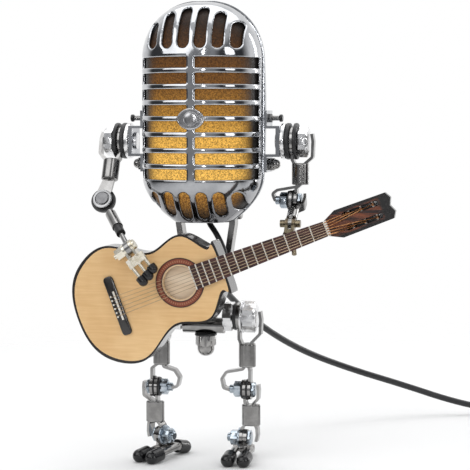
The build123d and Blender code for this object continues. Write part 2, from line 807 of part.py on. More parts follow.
def arm_frame(side):
    swing = -LEFT_ARM_SWING if side < 0 else 0
    return Location((0, SHOULDER_Y, SHOULDER_Z), (swing, 0, 0))


def upper_pin_fork(side, x, start, z, top_x, reach):
    """The lower end of a link: an eye outside the next link's eye, and a prong that bows
    round the pin's nut. The values of x are distances from the robot's middle."""
    eye_start = side * (x + UPPER_EYE)
    eye = disc_x(eye_start, eye_start + side * PRONG_SHEET, 0, z, PIN_EYE_RADIUS, PIN_RADIUS)
    eye_middle = x + UPPER_EYE + PRONG_SHEET / 2
    straight = strip(
        [
            (side * (top_x + 0.9), start + 2.4),
            (side * (top_x + 0.9), start + 0.6),
            (side * eye_middle, start - 1.8),
            (side * eye_middle, z + PIN_RADIUS + 1),
        ],
        0.9,
        PRONG_SHEET,
        PRONG_WIDTH,
    )
    far = x - reach
    bowed = strip(
        [
            (side * (top_x - 0.9), start + 1.5),
            (side * (top_x - 1.4), start - 1.0),
            (side * (far + 2.2), start - 2.6),
            (side * far, (start + z) / 2 - 0.6),
            (side * (far + 0.9), z + 0.6),
            (side * (x - PIN_END + 0.3), z - 0.2),
        ],
        1.1,
        PRONG_SHEET,
        PRONG_WIDTH,
    )
    return [eye, straight, bowed]


def lower_pin_fork(side, x, z, end, end_x):
    """The upper end of a link: an eye inside the last link's eye, and a prong that bows
    round the pin's head."""
    inner = x + LOWER_EYE
    eye = disc_x(side * inner, side * (inner + PRONG_SHEET), 0, z, PIN_EYE_RADIUS, PIN_RADIUS + FIT)
    middle = inner + PRONG_SHEET / 2
    straight = strip(
        [
            (side * middle, z - PIN_RADIUS - 1),
            (side * middle, end + 1.4),
            (side * (end_x - 1.4), end - 1.5),
        ],
        0.9,
        PRONG_SHEET,
        PRONG_WIDTH,
    )
    far = x + PIN_HEAD_END + GAP + PRONG_SHEET / 2 + 0.5
    bowed = strip(
        [
            (side * (far - 0.3), z + 2.4),
            (side * far, z - 0.2),
            (side * (far - 0.2), z - 4.0),
            (side * (end_x + 1.1), end + 0.4),
            (side * (end_x + 1.1), end - 1.5),
        ],
        1.0,
        PRONG_SHEET,
        PRONG_WIDTH,
    )
    return [eye, straight, bowed]


def pin(side, x, z):
    """A small bolt with its head outside, and its nut."""
    shank = disc_x(side * (x - PIN_END), side * (x + PIN_HEAD), 0, z, PIN_RADIUS)
    head = hex_x(side * (x + PIN_HEAD), side * (x + PIN_HEAD_END), 0, z, PIN_FLATS)
    nut = hex_x(side * (x - PIN_NUT_FAR), side * (x - PIN_NUT_NEAR), 0, z, PIN_FLATS, turn=30)
    return join(shank, head, nut)


def pin_rubbers(side, x, z):
    """The rubber washer under a nut and the one between the two eyes."""
    nut_washer_end = side * (x + LOWER_EYE - FIT)
    return Compound(
        children=[
            disc_x(side * (x - PIN_NUT_NEAR), nut_washer_end, 0, z, PIN_EYE_RADIUS - 0.2, PIN_RADIUS),
            disc_x(
                side * (x + LOWER_EYE + PRONG_SHEET + FIT),
                side * (x + UPPER_EYE),
                0,
                z,
                PIN_EYE_RADIUS + 0.3,
                PIN_RADIUS,
            ),
        ]
    )


def along(start, end):
    """A plane at one point whose normal points to another, with its x as near X as it can be."""
    way = Vector(*end) - Vector(*start)
    side = Vector(1, 0, 0) - way * (way.X / way.dot(way))
    return Plane(origin=start, x_dir=side, z_dir=way)


def bar(start, end, radius, from_share=0.0, to_share=1.0):
    """A round bar along part of the way between two points."""
    way = Vector(*end) - Vector(*start)
    with BuildPart() as piece:
        with BuildSketch(along(start, end).offset(way.length * from_share)):
            Circle(radius)
        extrude(amount=way.length * (to_share - from_share))
    return piece.part


# ---------------------------------------------------------------- forearms and hands
def make_left_forearm():
    """The strumming forearm, in the frame of its upper arm, whose elbow pin runs from front to back."""
    elbow = (-ELBOW_LEFT_X, 0, -ARM_LENGTH)
    frame = arm_frame(-1)
    wrist = frame.inverse() * Location(WRIST_LEFT)
    wrist = tuple(wrist.position)
    back = BLADE_SHEET / 2
    x, z = elbow[0], elbow[2]
    pin_parts = join(
        disc_y(x, z, -back, back + 5.2, PIN_RADIUS),
        disc_y(x, z, -back - 1.0, -back, PIN_RADIUS + 0.9),
    )
    ring = disc_y(x, z, back + FIT, back + 1.5, ELBOW_RING_RADIUS, PIN_RADIUS + FIT)
    eye_front = back + 1.5 + FIT
    eye_back = eye_front + 1.5
    with BuildPart() as nut:
        with BuildSketch(Plane.XZ.offset(-(eye_back + 2.2))):
            with Locations((x, z)):
                RegularPolygon(PIN_FLATS / 2 / cos(radians(30)), 6)
        extrude(amount=2.2 - FIT)
    keep("elbow_pin_left", join(pin_parts, nut.part), frame)
    start = (x, (eye_front + eye_back) / 2, z)
    eye = disc_y(x, z, eye_front, eye_back, ELBOW_RING_RADIUS - 0.5, PIN_RADIUS + FIT)
    tongue = bar(start, wrist, 1.5, 0.15, 0.36)
    sleeve = bar(start, wrist, 2.5, 0.27, 0.56)
    rod = bar(start, wrist, 1.15, 0.5, 0.93)
    arm = cut(join(tongue, sleeve, rod), disc_y(x, z, -8, eye_front, 7.0), disc_y(x, z, eye_back, 9, 6.5))
    arm = cut(join(arm, eye), disc_y(x, z, eye_front, eye_back, PIN_RADIUS + FIT))
    hand = frame.inverse() * hand_frame()
    arm = cut(arm, disc_x(-5, 5, 0, 0, 3.1).moved(hand))
    knuckle = disc_x(-1.2, 1.2, 0, 0, 3.1).moved(hand)
    arm = cut(join(arm, knuckle), disc_x(-1.2, 1.2, 0, 0, 1.2 + FIT).moved(hand))
    keep("forearm_left", arm, frame)
    cuff = cut(bar(start, wrist, 2.1, 0.56, 0.70), rod)
    keep("forearm_rubbers_left", Compound(children=[ring, cuff]), frame)


def hand_frame():
    """Origin at the wrist, -Z along the fingers and X along the wrist's pin."""
    tips = Vector(*FINGERTIPS_LEFT)
    wrist = Vector(*WRIST_LEFT)
    up = wrist - tips
    side = Vector(*WRIST_AXIS)
    side = side - up * (side.dot(up) / up.dot(up))
    return Plane(origin=wrist, x_dir=side, z_dir=up).location


def make_left_hand():
    frame = hand_frame()
    reach = (Vector(*FINGERTIPS_LEFT) - Vector(*WRIST_LEFT)).length
    straps = []
    for x in (-2.5, 1.3):
        straps.append(disc_x(x, x + 1.2, 0, 0, 2.9, 1.2))
        strap = box((x, x + 1.2), (-2.2, 2.2), (-PALM_TOP - 0.6, 0))
        straps.append(cut(strap, disc_x(x, x + 1.2, 0, 0, 2.4)))
    palm = box((-4.4, 4.4), (-0.9, 0.9), (-PALM_TOP - 4.2, -PALM_TOP))
    fingers = []
    tips = []
    for x, end_x, length in FINGERS_LEFT:
        root = (x, 0, -PALM_TOP - 3.4)
        end = (end_x, 0, -reach + length)
        fingers.append(bar(root, end, 0.85))
        cap = join(
            bar(root, end, FINGERTIP_RADIUS, 0.72, 1.0),
            Sphere(FINGERTIP_RADIUS).moved(Location(end)),
        )
        tips.append(cut(cap, bar(root, end, 0.85)))
    keep("fingertips_left", Compound(children=tips), frame)
    pin_left = join(
        disc_x(-7.6, 3.4, 0, 0, 1.2),
        disc_x(2.5, 3.6, 0, 0, 2.2),
        hex_x(-6.4, -2.5, 0, 0, 4.9),
    )
    keep("hand_left", join(*straps, palm, *fingers, pin_left), frame)


def make_right_forearm():
    """The fretting forearm, which leans forward to the guitar's neck."""
    frame = arm_frame(1) * Location((0, 0, -ARM_LENGTH + ELBOW_RISE), (-FOREARM_LEAN, 0, 0))
    sleeve = ferrule(ELBOW_RIGHT_X + 0.6, -6.4, 7.2, 2.5)
    fork = lower_pin_fork(1, ELBOW_RIGHT_X, 0, -6.6, ELBOW_RIGHT_X + 0.6)
    wrist_z = -FOREARM_RIGHT
    x = ELBOW_RIGHT_X + 0.6
    tongue = join(
        box((x - 0.8, x + 0.8), (-1.8, 1.8), (wrist_z, -13.0)),
        disc_x(x - 0.8, x + 0.8, 0, wrist_z, 2.4),
    )
    tongue = cut(tongue, disc_x(x - 0.8, x + 0.8, 0, wrist_z, 1.0 + FIT))
    keep("forearm_right", join(sleeve, *fork, tongue), frame)
    elbow = arm_frame(1) * Location((0, 0, -ARM_LENGTH + ELBOW_RISE))
    keep("elbow_pin_right", pin(1, ELBOW_RIGHT_X, 0), elbow)
    keep("elbow_rubbers_right", pin_rubbers(1, ELBOW_RIGHT_X, 0), elbow)
    make_right_hand(frame * Location((x, 0, wrist_z), (FOREARM_LEAN - HAND_LEAN, 0, 0)))


def make_right_hand(frame):
    """Two straps either side of the forearm's tongue, and two fingers behind the guitar's neck."""
    straps = []
    fingers = []
    for side in SIDES.values():
        near = side * (0.8 + FIT)
        far = side * 2.2
        straps.append(disc_x(near, far, 0, 0, 2.4))
        straps.append(cut(box((near, far), (-1.6, 1.6), (-6.0, 0)), disc_x(near, far, 0, 0, 2.0)))
        fingers.append(bar((side * 1.6, 0, -5.0), (side * 3.6, -0.6, -HAND_RIGHT), 1.1))
    bridge = box((-2.2, 2.2), (-1.2, 1.2), (-6.6, -3.6))
    wrist = join(
        disc_x(-4.4, 4.4, 0, 0, 1.0),
        disc_x(-4.6, -2.2, 0, 0, 1.7),
        disc_x(2.2, 4.6, 0, 0, 1.7),
    )
    keep("hand_right", join(*straps, bridge, *fingers, wrist), frame)


# ---------------------------------------------------------------- legs
def make_hips():
    hardware = {"bolt": [], "rubber": [pelvis_washer()]}
    for side in SIDES.values():
        centre = (0, HIP_Z)
        nut = hex_x(side * HIP_NUT, side * HIP_NUT_END, *centre, BOLT_FLATS)
        hardware["rubber"].append(
            disc_x(side * HIP_NUT_END, side * HIP_RUBBER_END, *centre, BOLT_FLATS / 2, BOLT_RADIUS)
        )
        shank = disc_x(side * (HIP_NUT + 0.2), side * HIP_WASHER_END, *centre, BOLT_RADIUS)
        washer = disc_x(side * (HIP_EYE_END + FIT), side * HIP_WASHER_END, *centre, 7.6, BOLT_RADIUS)
        head = hex_x(side * HIP_WASHER_END, side * HIP_HEAD_END, *centre, BOLT_FLATS, turn=30)
        hardware["bolt"].append(join(nut, shank, washer, head))
    for kind, parts in hardware.items():
        keep(f"hip_{kind}s", Compound(children=parts))


def pelvis_washer():
    """The rubber washer between the pelvis and its domed nut."""
    start = PELVIS_Z - PELVIS_RADIUS - 0.4
    with BuildPart() as washer:
        with BuildSketch(Plane.XY.offset(start)):
            with Locations((CAP_NUT_X, 0)):
                Circle(CAP_NUT_RADIUS + 0.4)
        extrude(amount=1.2)
        add(disc_x(-HIP_NUT, HIP_NUT, 0, PELVIS_Z, PELVIS_RADIUS), mode=Mode.SUBTRACT)
    return washer.part


def knee_x(side):
    return KNEE_RIGHT_X if side > 0 else KNEE_LEFT_X


def ankle_frame(side):
    """At the ankle's middle, turned outward on the left."""
    turn = LEFT_FOOT_TURN if side < 0 else 0
    x = ANKLE_LEFT_X if side < 0 else ANKLE_RIGHT_X
    return Location((side * x, 0, ANKLE_Z), (0, 0, turn))


def make_thighs():
    for name, side in SIDES.items():
        frame = Location((0, 0, HIP_Z))
        eye_start = HIP_RUBBER_END + FIT
        eye = disc_x(side * eye_start, side * HIP_EYE_END, 0, 0, SHOULDER_EYE_RADIUS, BOLT_RADIUS + FIT)
        middle = (HIP_RUBBER_END + HIP_EYE_END) / 2
        top = -THIGH_FERRULE_TOP
        inner = strip(
            [
                (side * middle, -BOLT_RADIUS - 1.2),
                (side * middle, top + 2.2),
                (side * (HIP_X - 1.9), top - 1.6),
            ],
            1.0,
            PRONG_SHEET,
            PRONG_WIDTH,
        )
        out = HIP_HEAD_END + GAP + PRONG_SHEET / 2 + 1.0
        outer = strip(
            [
                (side * (out - 0.6), 2.6),
                (side * out, -1.0),
                (side * (out - 0.3), -BOLT_CORNER - 0.3),
                (side * (HIP_X + 2.2), top + 0.6),
                (side * (HIP_X + 1.5), top - 1.6),
            ],
            1.6,
            PRONG_SHEET,
            PRONG_WIDTH,
        )
        sleeve = ferrule(side * HIP_X, top, THIGH_FERRULE_LENGTH, FERRULE_RADIUS)
        end = top - THIGH_FERRULE_LENGTH
        fork = upper_pin_fork(side, knee_x(side), end, KNEE_Z - HIP_Z, HIP_X, KNEE_BOW)
        knee_bolt = pin(side, knee_x(side), KNEE_Z - HIP_Z)
        keep(f"thigh_{name}", cut(join(eye, inner, outer, sleeve, *fork), knee_bolt), frame)
        knee = Location((0, 0, KNEE_Z))
        keep(f"knee_pin_{name}", pin(side, knee_x(side), 0), knee)
        keep(f"knee_rubbers_{name}", pin_rubbers(side, knee_x(side), 0), knee)


def make_shins():
    for name, side in SIDES.items():
        knee = Location((0, 0, KNEE_Z))
        ankle = ankle_frame(side)
        ankle_x = abs(ankle.position.X)
        x = ankle_x + SHIN_OFFSET
        top = -SHIN_FERRULE_TOP
        upper = lower_pin_fork(side, knee_x(side), 0, top, x)
        sleeve = ferrule(side * x, top, SHIN_FERRULE_LENGTH, 3.9, 0.62)
        lower = ankle_fork(side, top - SHIN_FERRULE_LENGTH + KNEE_Z - ANKLE_Z)
        lower = [part.moved(knee.inverse() * ankle) for part in lower]
        keep(f"shin_{name}", join(*upper, sleeve, *lower), knee)
        make_foot(name, side, ankle)


def ankle_fork(side, start):
    """The shin's lower end in the ankle's frame: a plate on the pin, and a prong round its head."""
    plate_x = -3.0
    plate = cut(
        join(
            disc_x(side * plate_x, side * (plate_x + PRONG_SHEET), 0, 0, PIN_EYE_RADIUS),
            strip(
                [
                    (side * (SHIN_OFFSET - 1.6), start + 1.4),
                    (side * (plate_x + PRONG_SHEET / 2), start - 1.6),
                    (side * (plate_x + PRONG_SHEET / 2), 2.7),
                ],
                0.9,
                PRONG_SHEET,
                PRONG_WIDTH,
            ),
        ),
        disc_x(side * (plate_x - 1), side * (plate_x + 2.5), 0, 0, PIN_RADIUS),
    )
    loop = strip(
        [
            (side * (SHIN_OFFSET + 1.8), start + 1.4),
            (side * (ANKLE_LOOP - 0.2), start - 1.2),
            (side * ANKLE_LOOP, 1.4),
            (side * (ANKLE_LOOP - 0.6), -1.4),
        ],
        1.0,
        PRONG_SHEET,
        PRONG_WIDTH,
    )
    return [plate, loop]


def make_foot(name, side, frame):
    hub = disc_x(side * (-1.7 + FIT), 0.3 * side, 0, 0, 3.9, PIN_RADIUS + FIT)
    stem = cut(
        box((side * (-1.7 + FIT), 0.3 * side), (-1.8, TOE_BAR_Y + 1.6), (-ANKLE_Z + TOE_BAR_Z - 1.2, -1.0)),
        disc_x(side * -3, side * 2, 0, 0, PIN_RADIUS + FIT + 0.2),
    )
    bar_z = -ANKLE_Z + TOE_BAR_Z
    cross = disc_x(side * (-TOE_INNER - 1.2), side * (TOE_OUTER + 1.2), TOE_BAR_Y, bar_z, TOE_RADIUS - 0.5)
    bars = [hub, stem, cross]
    caps = []
    for x in (side * -TOE_INNER, side * TOE_OUTER):
        start = (x, TOE_BAR_Y, bar_z)
        tip = (x, -TOE_TIP_Y, -ANKLE_Z + CAP_RADIUS - SOLE_FLAT)
        bars.append(bar(start, tip, TOE_RADIUS - 0.6))
        caps.append(rubber_cap(start, tip))
    start = (side * HEEL_X, TOE_BAR_Y, bar_z)
    tip = (side * HEEL_X, HEEL_Y, -ANKLE_Z + CAP_RADIUS - SOLE_FLAT)
    bars.append(bar(start, tip, TOE_RADIUS - 0.6))
    caps.append(rubber_cap(start, tip))
    foot = join(*bars)
    keep(f"foot_{name}", foot, frame)
    below = box((-60, 60), (-60, 60), (-ANKLE_Z - 5, -ANKLE_Z))
    keep(f"foot_caps_{name}", Compound(children=[cut(cap, foot, below) for cap in caps]), frame)
    bolt = join(
        disc_x(side * -ANKLE_PIN_END, side * 0.5, 0, 0, PIN_RADIUS),
        hex_x(side * 0.35, side * 2.2, 0, 0, PIN_FLATS),
        hex_x(side * -ANKLE_NUT_FAR, side * -3.9, 0, 0, PIN_FLATS),
        disc_x(side * -3.9, side * -3.0, 0, 0, PIN_EYE_RADIUS),
    )
    keep(f"ankle_pin_{name}", bolt, frame)


def rubber_cap(start, tip):
    """A rubber cap with a round end, on the last part of a bar."""
    way = Vector(*tip) - Vector(*start)
    share = 1 - (CAP_LENGTH - CAP_RADIUS) / way.length
    return join(bar(start, tip, CAP_RADIUS, share, 1.0), Sphere(CAP_RADIUS).moved(Location(tip)))


# ---------------------------------------------------------------- guitar
GUITAR = Plane(
    origin=(HOLE_X, -GUITAR_FRONT, HOLE_Z),
    x_dir=(cos(radians(GUITAR_TILT)), 0, sin(radians(GUITAR_TILT))),
    z_dir=(0, -1, 0),
)


def guitar_outline(inset=0.0):
    """The guitar's outline on the plane of its face, with the neck along X."""
    waist, lower, upper = WAIST_HALF - inset, LOWER_BOUT_HALF - inset, UPPER_BOUT_HALF - inset
    tail, heel = TAIL_U + inset, HEEL_U - inset
    with BuildSketch() as sketch:
        with BuildLine() as half:
            Spline(
                (tail, 0),
                (tail + 10.5, lower - 3.6),
                (LOWER_BOUT_U, lower),
                (WAIST_U, waist),
                (UPPER_BOUT_U, upper),
                (heel - 2.6, upper - 9.0),
                (heel, 0),
                tangents=((0, 1), (0, -1)),
            )
            mirror(about=Plane.XZ)
        make_face()
    return sketch.sketch


def guitar_slab(outline, low, high, hole=0.0):
    with BuildPart() as slab:
        with BuildSketch(GUITAR.offset(low)):
            add(outline)
            if hole:
                Circle(hole, mode=Mode.SUBTRACT)
        extrude(amount=high - low)
    return slab.part


def make_guitar_body():
    full, inside = guitar_outline(), guitar_outline(GUITAR_WALL)
    sides = cut(
        guitar_slab(full, -GUITAR_THICKNESS, 0),
        guitar_slab(inside, -GUITAR_THICKNESS + GUITAR_WALL, -TOP_SHEET),
        guitar_slab(guitar_outline(BINDING), -TOP_SHEET, 0),
    )
    keep("guitar_body", sides)
    keep("guitar_top", guitar_slab(guitar_outline(BINDING), -TOP_SHEET, 0, HOLE_RADIUS))
    with BuildPart() as rosette:
        with BuildSketch(GUITAR):
            Circle(ROSETTE_RADIUS)
            Circle(HOLE_RADIUS, mode=Mode.SUBTRACT)
        extrude(amount=ROSETTE_SHEET)
    keep("guitar_rosette", rosette.part)


def guitar_block(u_span, half_start, half_end, low, high):
    """A block on the guitar's axis whose width may change along it."""
    with BuildPart() as block:
        with BuildSketch(GUITAR.offset(low)):
            with BuildLine():
                Polyline(
                    (u_span[0], -half_start),
                    (u_span[1], -half_end),
                    (u_span[1], half_end),
                    (u_span[0], half_start),
                    close=True,
                )
            make_face()
        extrude(amount=high - low)
    return block.part


def board_half(u):
    share = (u - BOARD_START_U) / (NUT_U - BOARD_START_U)
    return BOARD_HALF_END + (BOARD_HALF_NUT - BOARD_HALF_END) * share


def string_ends(number):
    offset = number - (STRING_COUNT - 1) / 2
    return offset * STRING_SPREAD_BRIDGE, offset * STRING_SPREAD_NUT


def make_guitar_fittings():
    half = BRIDGE_WIDTH / 2
    bridge = guitar_block(
        (BRIDGE_U - half, BRIDGE_U + half), BRIDGE_LENGTH / 2, BRIDGE_LENGTH / 2, 0, BRIDGE_HEIGHT - 0.4
    )
    keep("guitar_bridge", bridge)
    saddle_u = BRIDGE_U + SADDLE_SHIFT
    saddle = guitar_block(
        (saddle_u - SADDLE_WIDTH / 2, saddle_u + SADDLE_WIDTH / 2),
        SADDLE_LENGTH / 2,
        SADDLE_LENGTH / 2,
        BRIDGE_HEIGHT - 0.4,
        STRING_LIFT - STRING_RADIUS,
    )
    board = guitar_block((BOARD_START_U, NUT_U), BOARD_HALF_END, BOARD_HALF_NUT, ROSETTE_SHEET, BOARD_HEIGHT)
    keep("fretboard", board)
    frets = []
    for number in range(1, FRET_COUNT + 1):
        u = NUT_U - SCALE_LENGTH * (1 - 2 ** (-number / 12))
        width = FRET_WIDTH / 2
        frets.append(
            guitar_block(
                (u - width, u + width), board_half(u), board_half(u), BOARD_HEIGHT, BOARD_HEIGHT + FRET_HEIGHT
            )
        )
    nut = guitar_block(
        (NUT_U, NUT_U + NUT_WIDTH), BOARD_HALF_NUT, BOARD_HALF_NUT, 0, STRING_LIFT - STRING_RADIUS
    )
    keep("frets_and_nut", Compound(children=[*frets, nut, saddle]))
    strings = []
    for number in range(STRING_COUNT):
        at_bridge, at_nut = string_ends(number)
        start = GUITAR.from_local_coords(Vector(saddle_u - 1.2, at_bridge, STRING_LIFT))
        end = GUITAR.from_local_coords(Vector(NUT_U + NUT_WIDTH + 1, at_nut, STRING_LIFT))
        strings.append(bar(tuple(start), tuple(end), STRING_RADIUS))
    keep("strings", Compound(children=strings))


def make_guitar_neck():
    """The neck under the fretboard, with a slotted head at its end."""
    with BuildPart() as neck:
        add(guitar_block((HEEL_U - 2, NUT_U), board_half(HEEL_U), BOARD_HALF_NUT, -NECK_DEPTH, 0))
        add(guitar_slab(guitar_outline(), -GUITAR_THICKNESS, 0), mode=Mode.SUBTRACT)
        add(guitar_block((BOARD_START_U, NUT_U), BOARD_HALF_END, BOARD_HALF_NUT, 0, ROSETTE_SHEET))
    shaft = cut(neck.part, guitar_slab(sketch_disc(ROSETTE_RADIUS), 0, ROSETTE_SHEET))
    start, end = NUT_U, NUT_U + HEADSTOCK_LENGTH
    with BuildPart() as head:
        with BuildSketch(GUITAR.offset(-HEADSTOCK_THICKNESS)):
            with BuildLine():
                Polyline(
                    (start, -BOARD_HALF_NUT),
                    (start + 6.0, -HEADSTOCK_HALF),
                    (end - 1.6, -HEADSTOCK_HALF * 0.94),
                    (end, -HEADSTOCK_HALF * 0.5),
                    (end - 1.4, 0),
                    (end, HEADSTOCK_HALF * 0.5),
                    (end - 1.6, HEADSTOCK_HALF * 0.94),
                    (start + 6.0, HEADSTOCK_HALF),
                    (start, BOARD_HALF_NUT),
                    close=True,
                )
            make_face()
            for way in (-1, 1):
                with Locations((start + 17.0, way * HEADSTOCK_HALF * 0.46)):
                    SlotOverall(17.0, 2.4, mode=Mode.SUBTRACT)
        extrude(amount=HEADSTOCK_THICKNESS)
    nut_foot = guitar_block((NUT_U, NUT_U + NUT_WIDTH), 9, 9, -0.001, 3)
    keep("guitar_neck", join(shaft, cut(head.part, nut_foot)))
    posts = []
    middle = GUITAR.offset(-HEADSTOCK_THICKNESS / 2)
    for way in (-1, 1):
        for step in (0, 1, 2):
            u = start + 11.4 + step * 5.6
            inner = middle.from_local_coords(Vector(u, way * 1.7, 0))
            outer = middle.from_local_coords(Vector(u, way * TUNER_REACH, 0))
            knob = middle.from_local_coords(Vector(u, way * (TUNER_REACH - 2.0), 0))
            shaft_bar = bar(tuple(inner), tuple(outer), 0.5)
            posts.append(join(shaft_bar, bar(tuple(knob), tuple(outer), TUNER_RADIUS)))
    keep("tuner_posts", cut_all(posts, head.part))


def cut_all(parts, tool):
    """Several solids less one tool, as one group."""
    solids = []
    for part in parts:
        solids += cut(part, tool).solids()
    return Compound(children=solids)


def sketch_disc(radius):
    with BuildSketch() as sketch:
        Circle(radius)
    return sketch.sketch


# ---------------------------------------------------------------- cord
def bend_radii(points):
    """A radius for each bend, worked out from its shorter run and its turn."""
    radii = []
    for before, here, after in zip(points, points[1:], points[2:]):
        one = Vector(*here) - Vector(*before)
        two = Vector(*after) - Vector(*here)
        turn = radians(one.get_angle(two))
        radii.append(0.45 * min(one.length, two.length) / tan(turn / 2))
    return radii


def tube(points, radius):
    """A cord's stretch: straight runs joined by tangent arcs."""
    radii = bend_radii(points)
    with BuildPart() as piece:
        with BuildLine() as route:
            FilletPolyline(*points, radius=radii)
        with BuildSketch(Plane(origin=route.line @ 0, z_dir=route.line % 0)):
            Circle(radius)
        sweep()
    return piece.part


def make_cord():
    lead = tube(ROUTE_TO_SWITCH, CORD_RADIUS)
    keep("cord_lead", lead)
    x, y, z = ROUTE_TO_SWITCH[-1]
    floor = SWITCH_HEIGHT
    with BuildPart() as case:
        with BuildSketch(Plane.XY):
            with Locations((x, y - SWITCH_LENGTH / 2)):
                RectangleRounded(SWITCH_WIDTH, SWITCH_LENGTH, 4.0)
        extrude(amount=floor)
        fillet(case.faces().sort_by(Axis.Z)[-1].edges(), radius=1.5)
        with BuildSketch(Plane.XY.offset(floor - ROCKER_DEPTH)):
            with Locations((x, y - SWITCH_LENGTH / 2)):
                Rectangle(ROCKER_WIDTH + 2 * GAP, ROCKER_LENGTH + 2 * GAP + 0.6)
        extrude(amount=ROCKER_DEPTH, mode=Mode.SUBTRACT)
    keep("switch_case", case.part)
    rocker_z = floor - 0.6
    with BuildPart() as rocker:
        with BuildSketch(Plane.YZ.offset(x - ROCKER_WIDTH / 2)):
            with BuildLine():
                Polyline(
                    (y - SWITCH_LENGTH / 2 - ROCKER_LENGTH / 2, rocker_z - 0.6),
                    (y - SWITCH_LENGTH / 2 - ROCKER_LENGTH / 2, rocker_z + 1.7),
                    (y - SWITCH_LENGTH / 2, rocker_z + 0.8),
                    (y - SWITCH_LENGTH / 2 + ROCKER_LENGTH / 2, rocker_z + 1.7),
                    (y - SWITCH_LENGTH / 2 + ROCKER_LENGTH / 2, rocker_z - 0.6),
                    (y - SWITCH_LENGTH / 2, rocker_z - 2.0),
                    close=True,
                )
            make_face()
        extrude(amount=ROCKER_WIDTH)
    keep("switch_rocker", rocker.part)
    middle = tube(ROUTE_TO_COIL, CORD_RADIUS)
    keep("cord_middle", middle)
    with BuildPart() as coil:
        with BuildSketch(Plane.XZ):
            with Locations((COIL_RADIUS, COIL_HEIGHT / 2)):
                RectangleRounded(COIL_BUNDLE, COIL_HEIGHT, 2.6)
        revolve(axis=Axis.Z)
    ring = coil.part.moved(Location((*COIL_CENTRE, 0)))
    keep("cord_coil", cut(ring, middle))
    x, y = PLUG_START
    body = box((x - PLUG_WIDTH / 2, x + PLUG_WIDTH / 2), (y, y + PLUG_BODY), (0, PLUG_HEIGHT))
    body = cut(body, ring)
    shell = box(
        (x - PLUG_METAL / 2, x + PLUG_METAL / 2),
        (y + PLUG_BODY, y + PLUG_BODY + PLUG_REACH),
        (PLUG_HEIGHT / 2 - 2.25, PLUG_HEIGHT / 2 + 2.25),
    )
    hollow = box(
        (x - PLUG_METAL / 2 + 0.4, x + PLUG_METAL / 2 - 0.4),
        (y + PLUG_BODY + 2, y + PLUG_BODY + PLUG_REACH),
        (PLUG_HEIGHT / 2, PLUG_HEIGHT / 2 + 1.85),
    )
    keep("usb_plug", join(body, cut(shell, hollow)))
    with BuildPart() as gland:
        x, y, z = ROUTE_TO_SWITCH[0]
        add(disc_y(x, z, SPINE_Y, y, 3.0))
        add(disc_y(x, z, SPINE_Y, SPINE_Y + SPINE_RADIUS + 1.4, 3.9))
    with BuildPart() as spine:
        with BuildSketch(Plane.XY.offset(PELVIS_Z)):
            with Locations((0, SPINE_Y)):
                Circle(SPINE_RADIUS)
        extrude(amount=YOKE_CROSSBAR_Z - PELVIS_Z)
    keep("cord_gland", cut(gland.part, spine.part))
    keep("neck_lead", cut(tube(NECK_LEAD, NECK_LEAD_RADIUS), spine.part))


os.makedirs("parts", exist_ok=True)
make_head()
make_yoke()
make_torso()
make_upper_arms()
make_left_forearm()
make_left_hand()
make_right_forearm()
make_thighs()
make_shins()
make_guitar_body()
make_guitar_fittings()
make_guitar_neck()
make_cord()
print(len(made), "pieces")
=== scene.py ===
import json
import math

import bmesh
import bpy
import numpy as np
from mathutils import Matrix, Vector


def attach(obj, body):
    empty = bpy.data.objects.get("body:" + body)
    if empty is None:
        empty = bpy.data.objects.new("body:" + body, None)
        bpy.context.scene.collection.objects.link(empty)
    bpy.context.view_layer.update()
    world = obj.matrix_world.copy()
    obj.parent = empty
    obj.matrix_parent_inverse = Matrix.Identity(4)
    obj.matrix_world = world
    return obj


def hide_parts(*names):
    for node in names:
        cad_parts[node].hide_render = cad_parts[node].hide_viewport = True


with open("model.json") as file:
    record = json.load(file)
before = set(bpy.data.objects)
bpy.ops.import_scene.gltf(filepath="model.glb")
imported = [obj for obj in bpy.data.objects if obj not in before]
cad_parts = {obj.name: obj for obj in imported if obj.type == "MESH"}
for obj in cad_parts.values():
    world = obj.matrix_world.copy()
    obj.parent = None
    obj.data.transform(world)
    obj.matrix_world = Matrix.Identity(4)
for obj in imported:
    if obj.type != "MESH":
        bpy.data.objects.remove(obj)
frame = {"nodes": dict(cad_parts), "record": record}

bl_info = {
    "name": "Guitarist robot lamp",
    "version": (1, 0, 0),
    "blender": (4, 5, 0),
    "location": "View3D > Sidebar > Lamp",
    "description": "Dresses a jointed robot lamp with a microphone head, a guitar and a corded switch",
    "category": "Object",
}

NODES = frame["nodes"]
MM = 0.001
AXIS = np.array((-18.2, 3.7, 0.0))  # the robot's axis from the middle of its footprint, in millimetres
SIDES = {"left": -1.0, "right": 1.0}
SHARP_EDGE = math.radians(35)  # a made piece's edge over this angle is shaded sharp
BEVELLED_EDGE = math.radians(38)  # a CAD copy's edge over this angle is rounded
FLAT_EDGE = math.radians(1)  # an edge under this angle only divides a flat face


# ---------------------------------------------------------------- meshes from formulas
def spot(x, y, z):
    """A point given in millimetres from the robot's axis, in metres in the shared frame."""
    return tuple((np.array((x, y, z), float) + AXIS) * MM)


def mesh_piece(name, points, faces, smooth=True):
    """A mesh object from points in millimetres from the robot's axis and a list of faces."""
    mesh = bpy.data.meshes.new(name)
    places = (np.asarray(points, float).reshape(-1, 3) + AXIS) * MM
    mesh.from_pydata(places.tolist(), [], faces)
    mesh.update()
    mesh.polygons.foreach_set("use_smooth", np.full(len(mesh.polygons), smooth))
    piece = bpy.data.objects.new(name, mesh)
    bpy.context.scene.collection.objects.link(piece)
    return piece


def grid_faces(rows, columns, closed=True):
    """Quads between neighbouring points of a grid, whose columns wrap round where closed."""
    i, j = np.meshgrid(np.arange(rows - 1), np.arange(columns if closed else columns - 1), indexing="ij")
    a = i * columns + j
    b = i * columns + (j + 1) % columns
    return np.stack((a, b, b + columns, a + columns), -1).reshape(-1, 4).tolist()


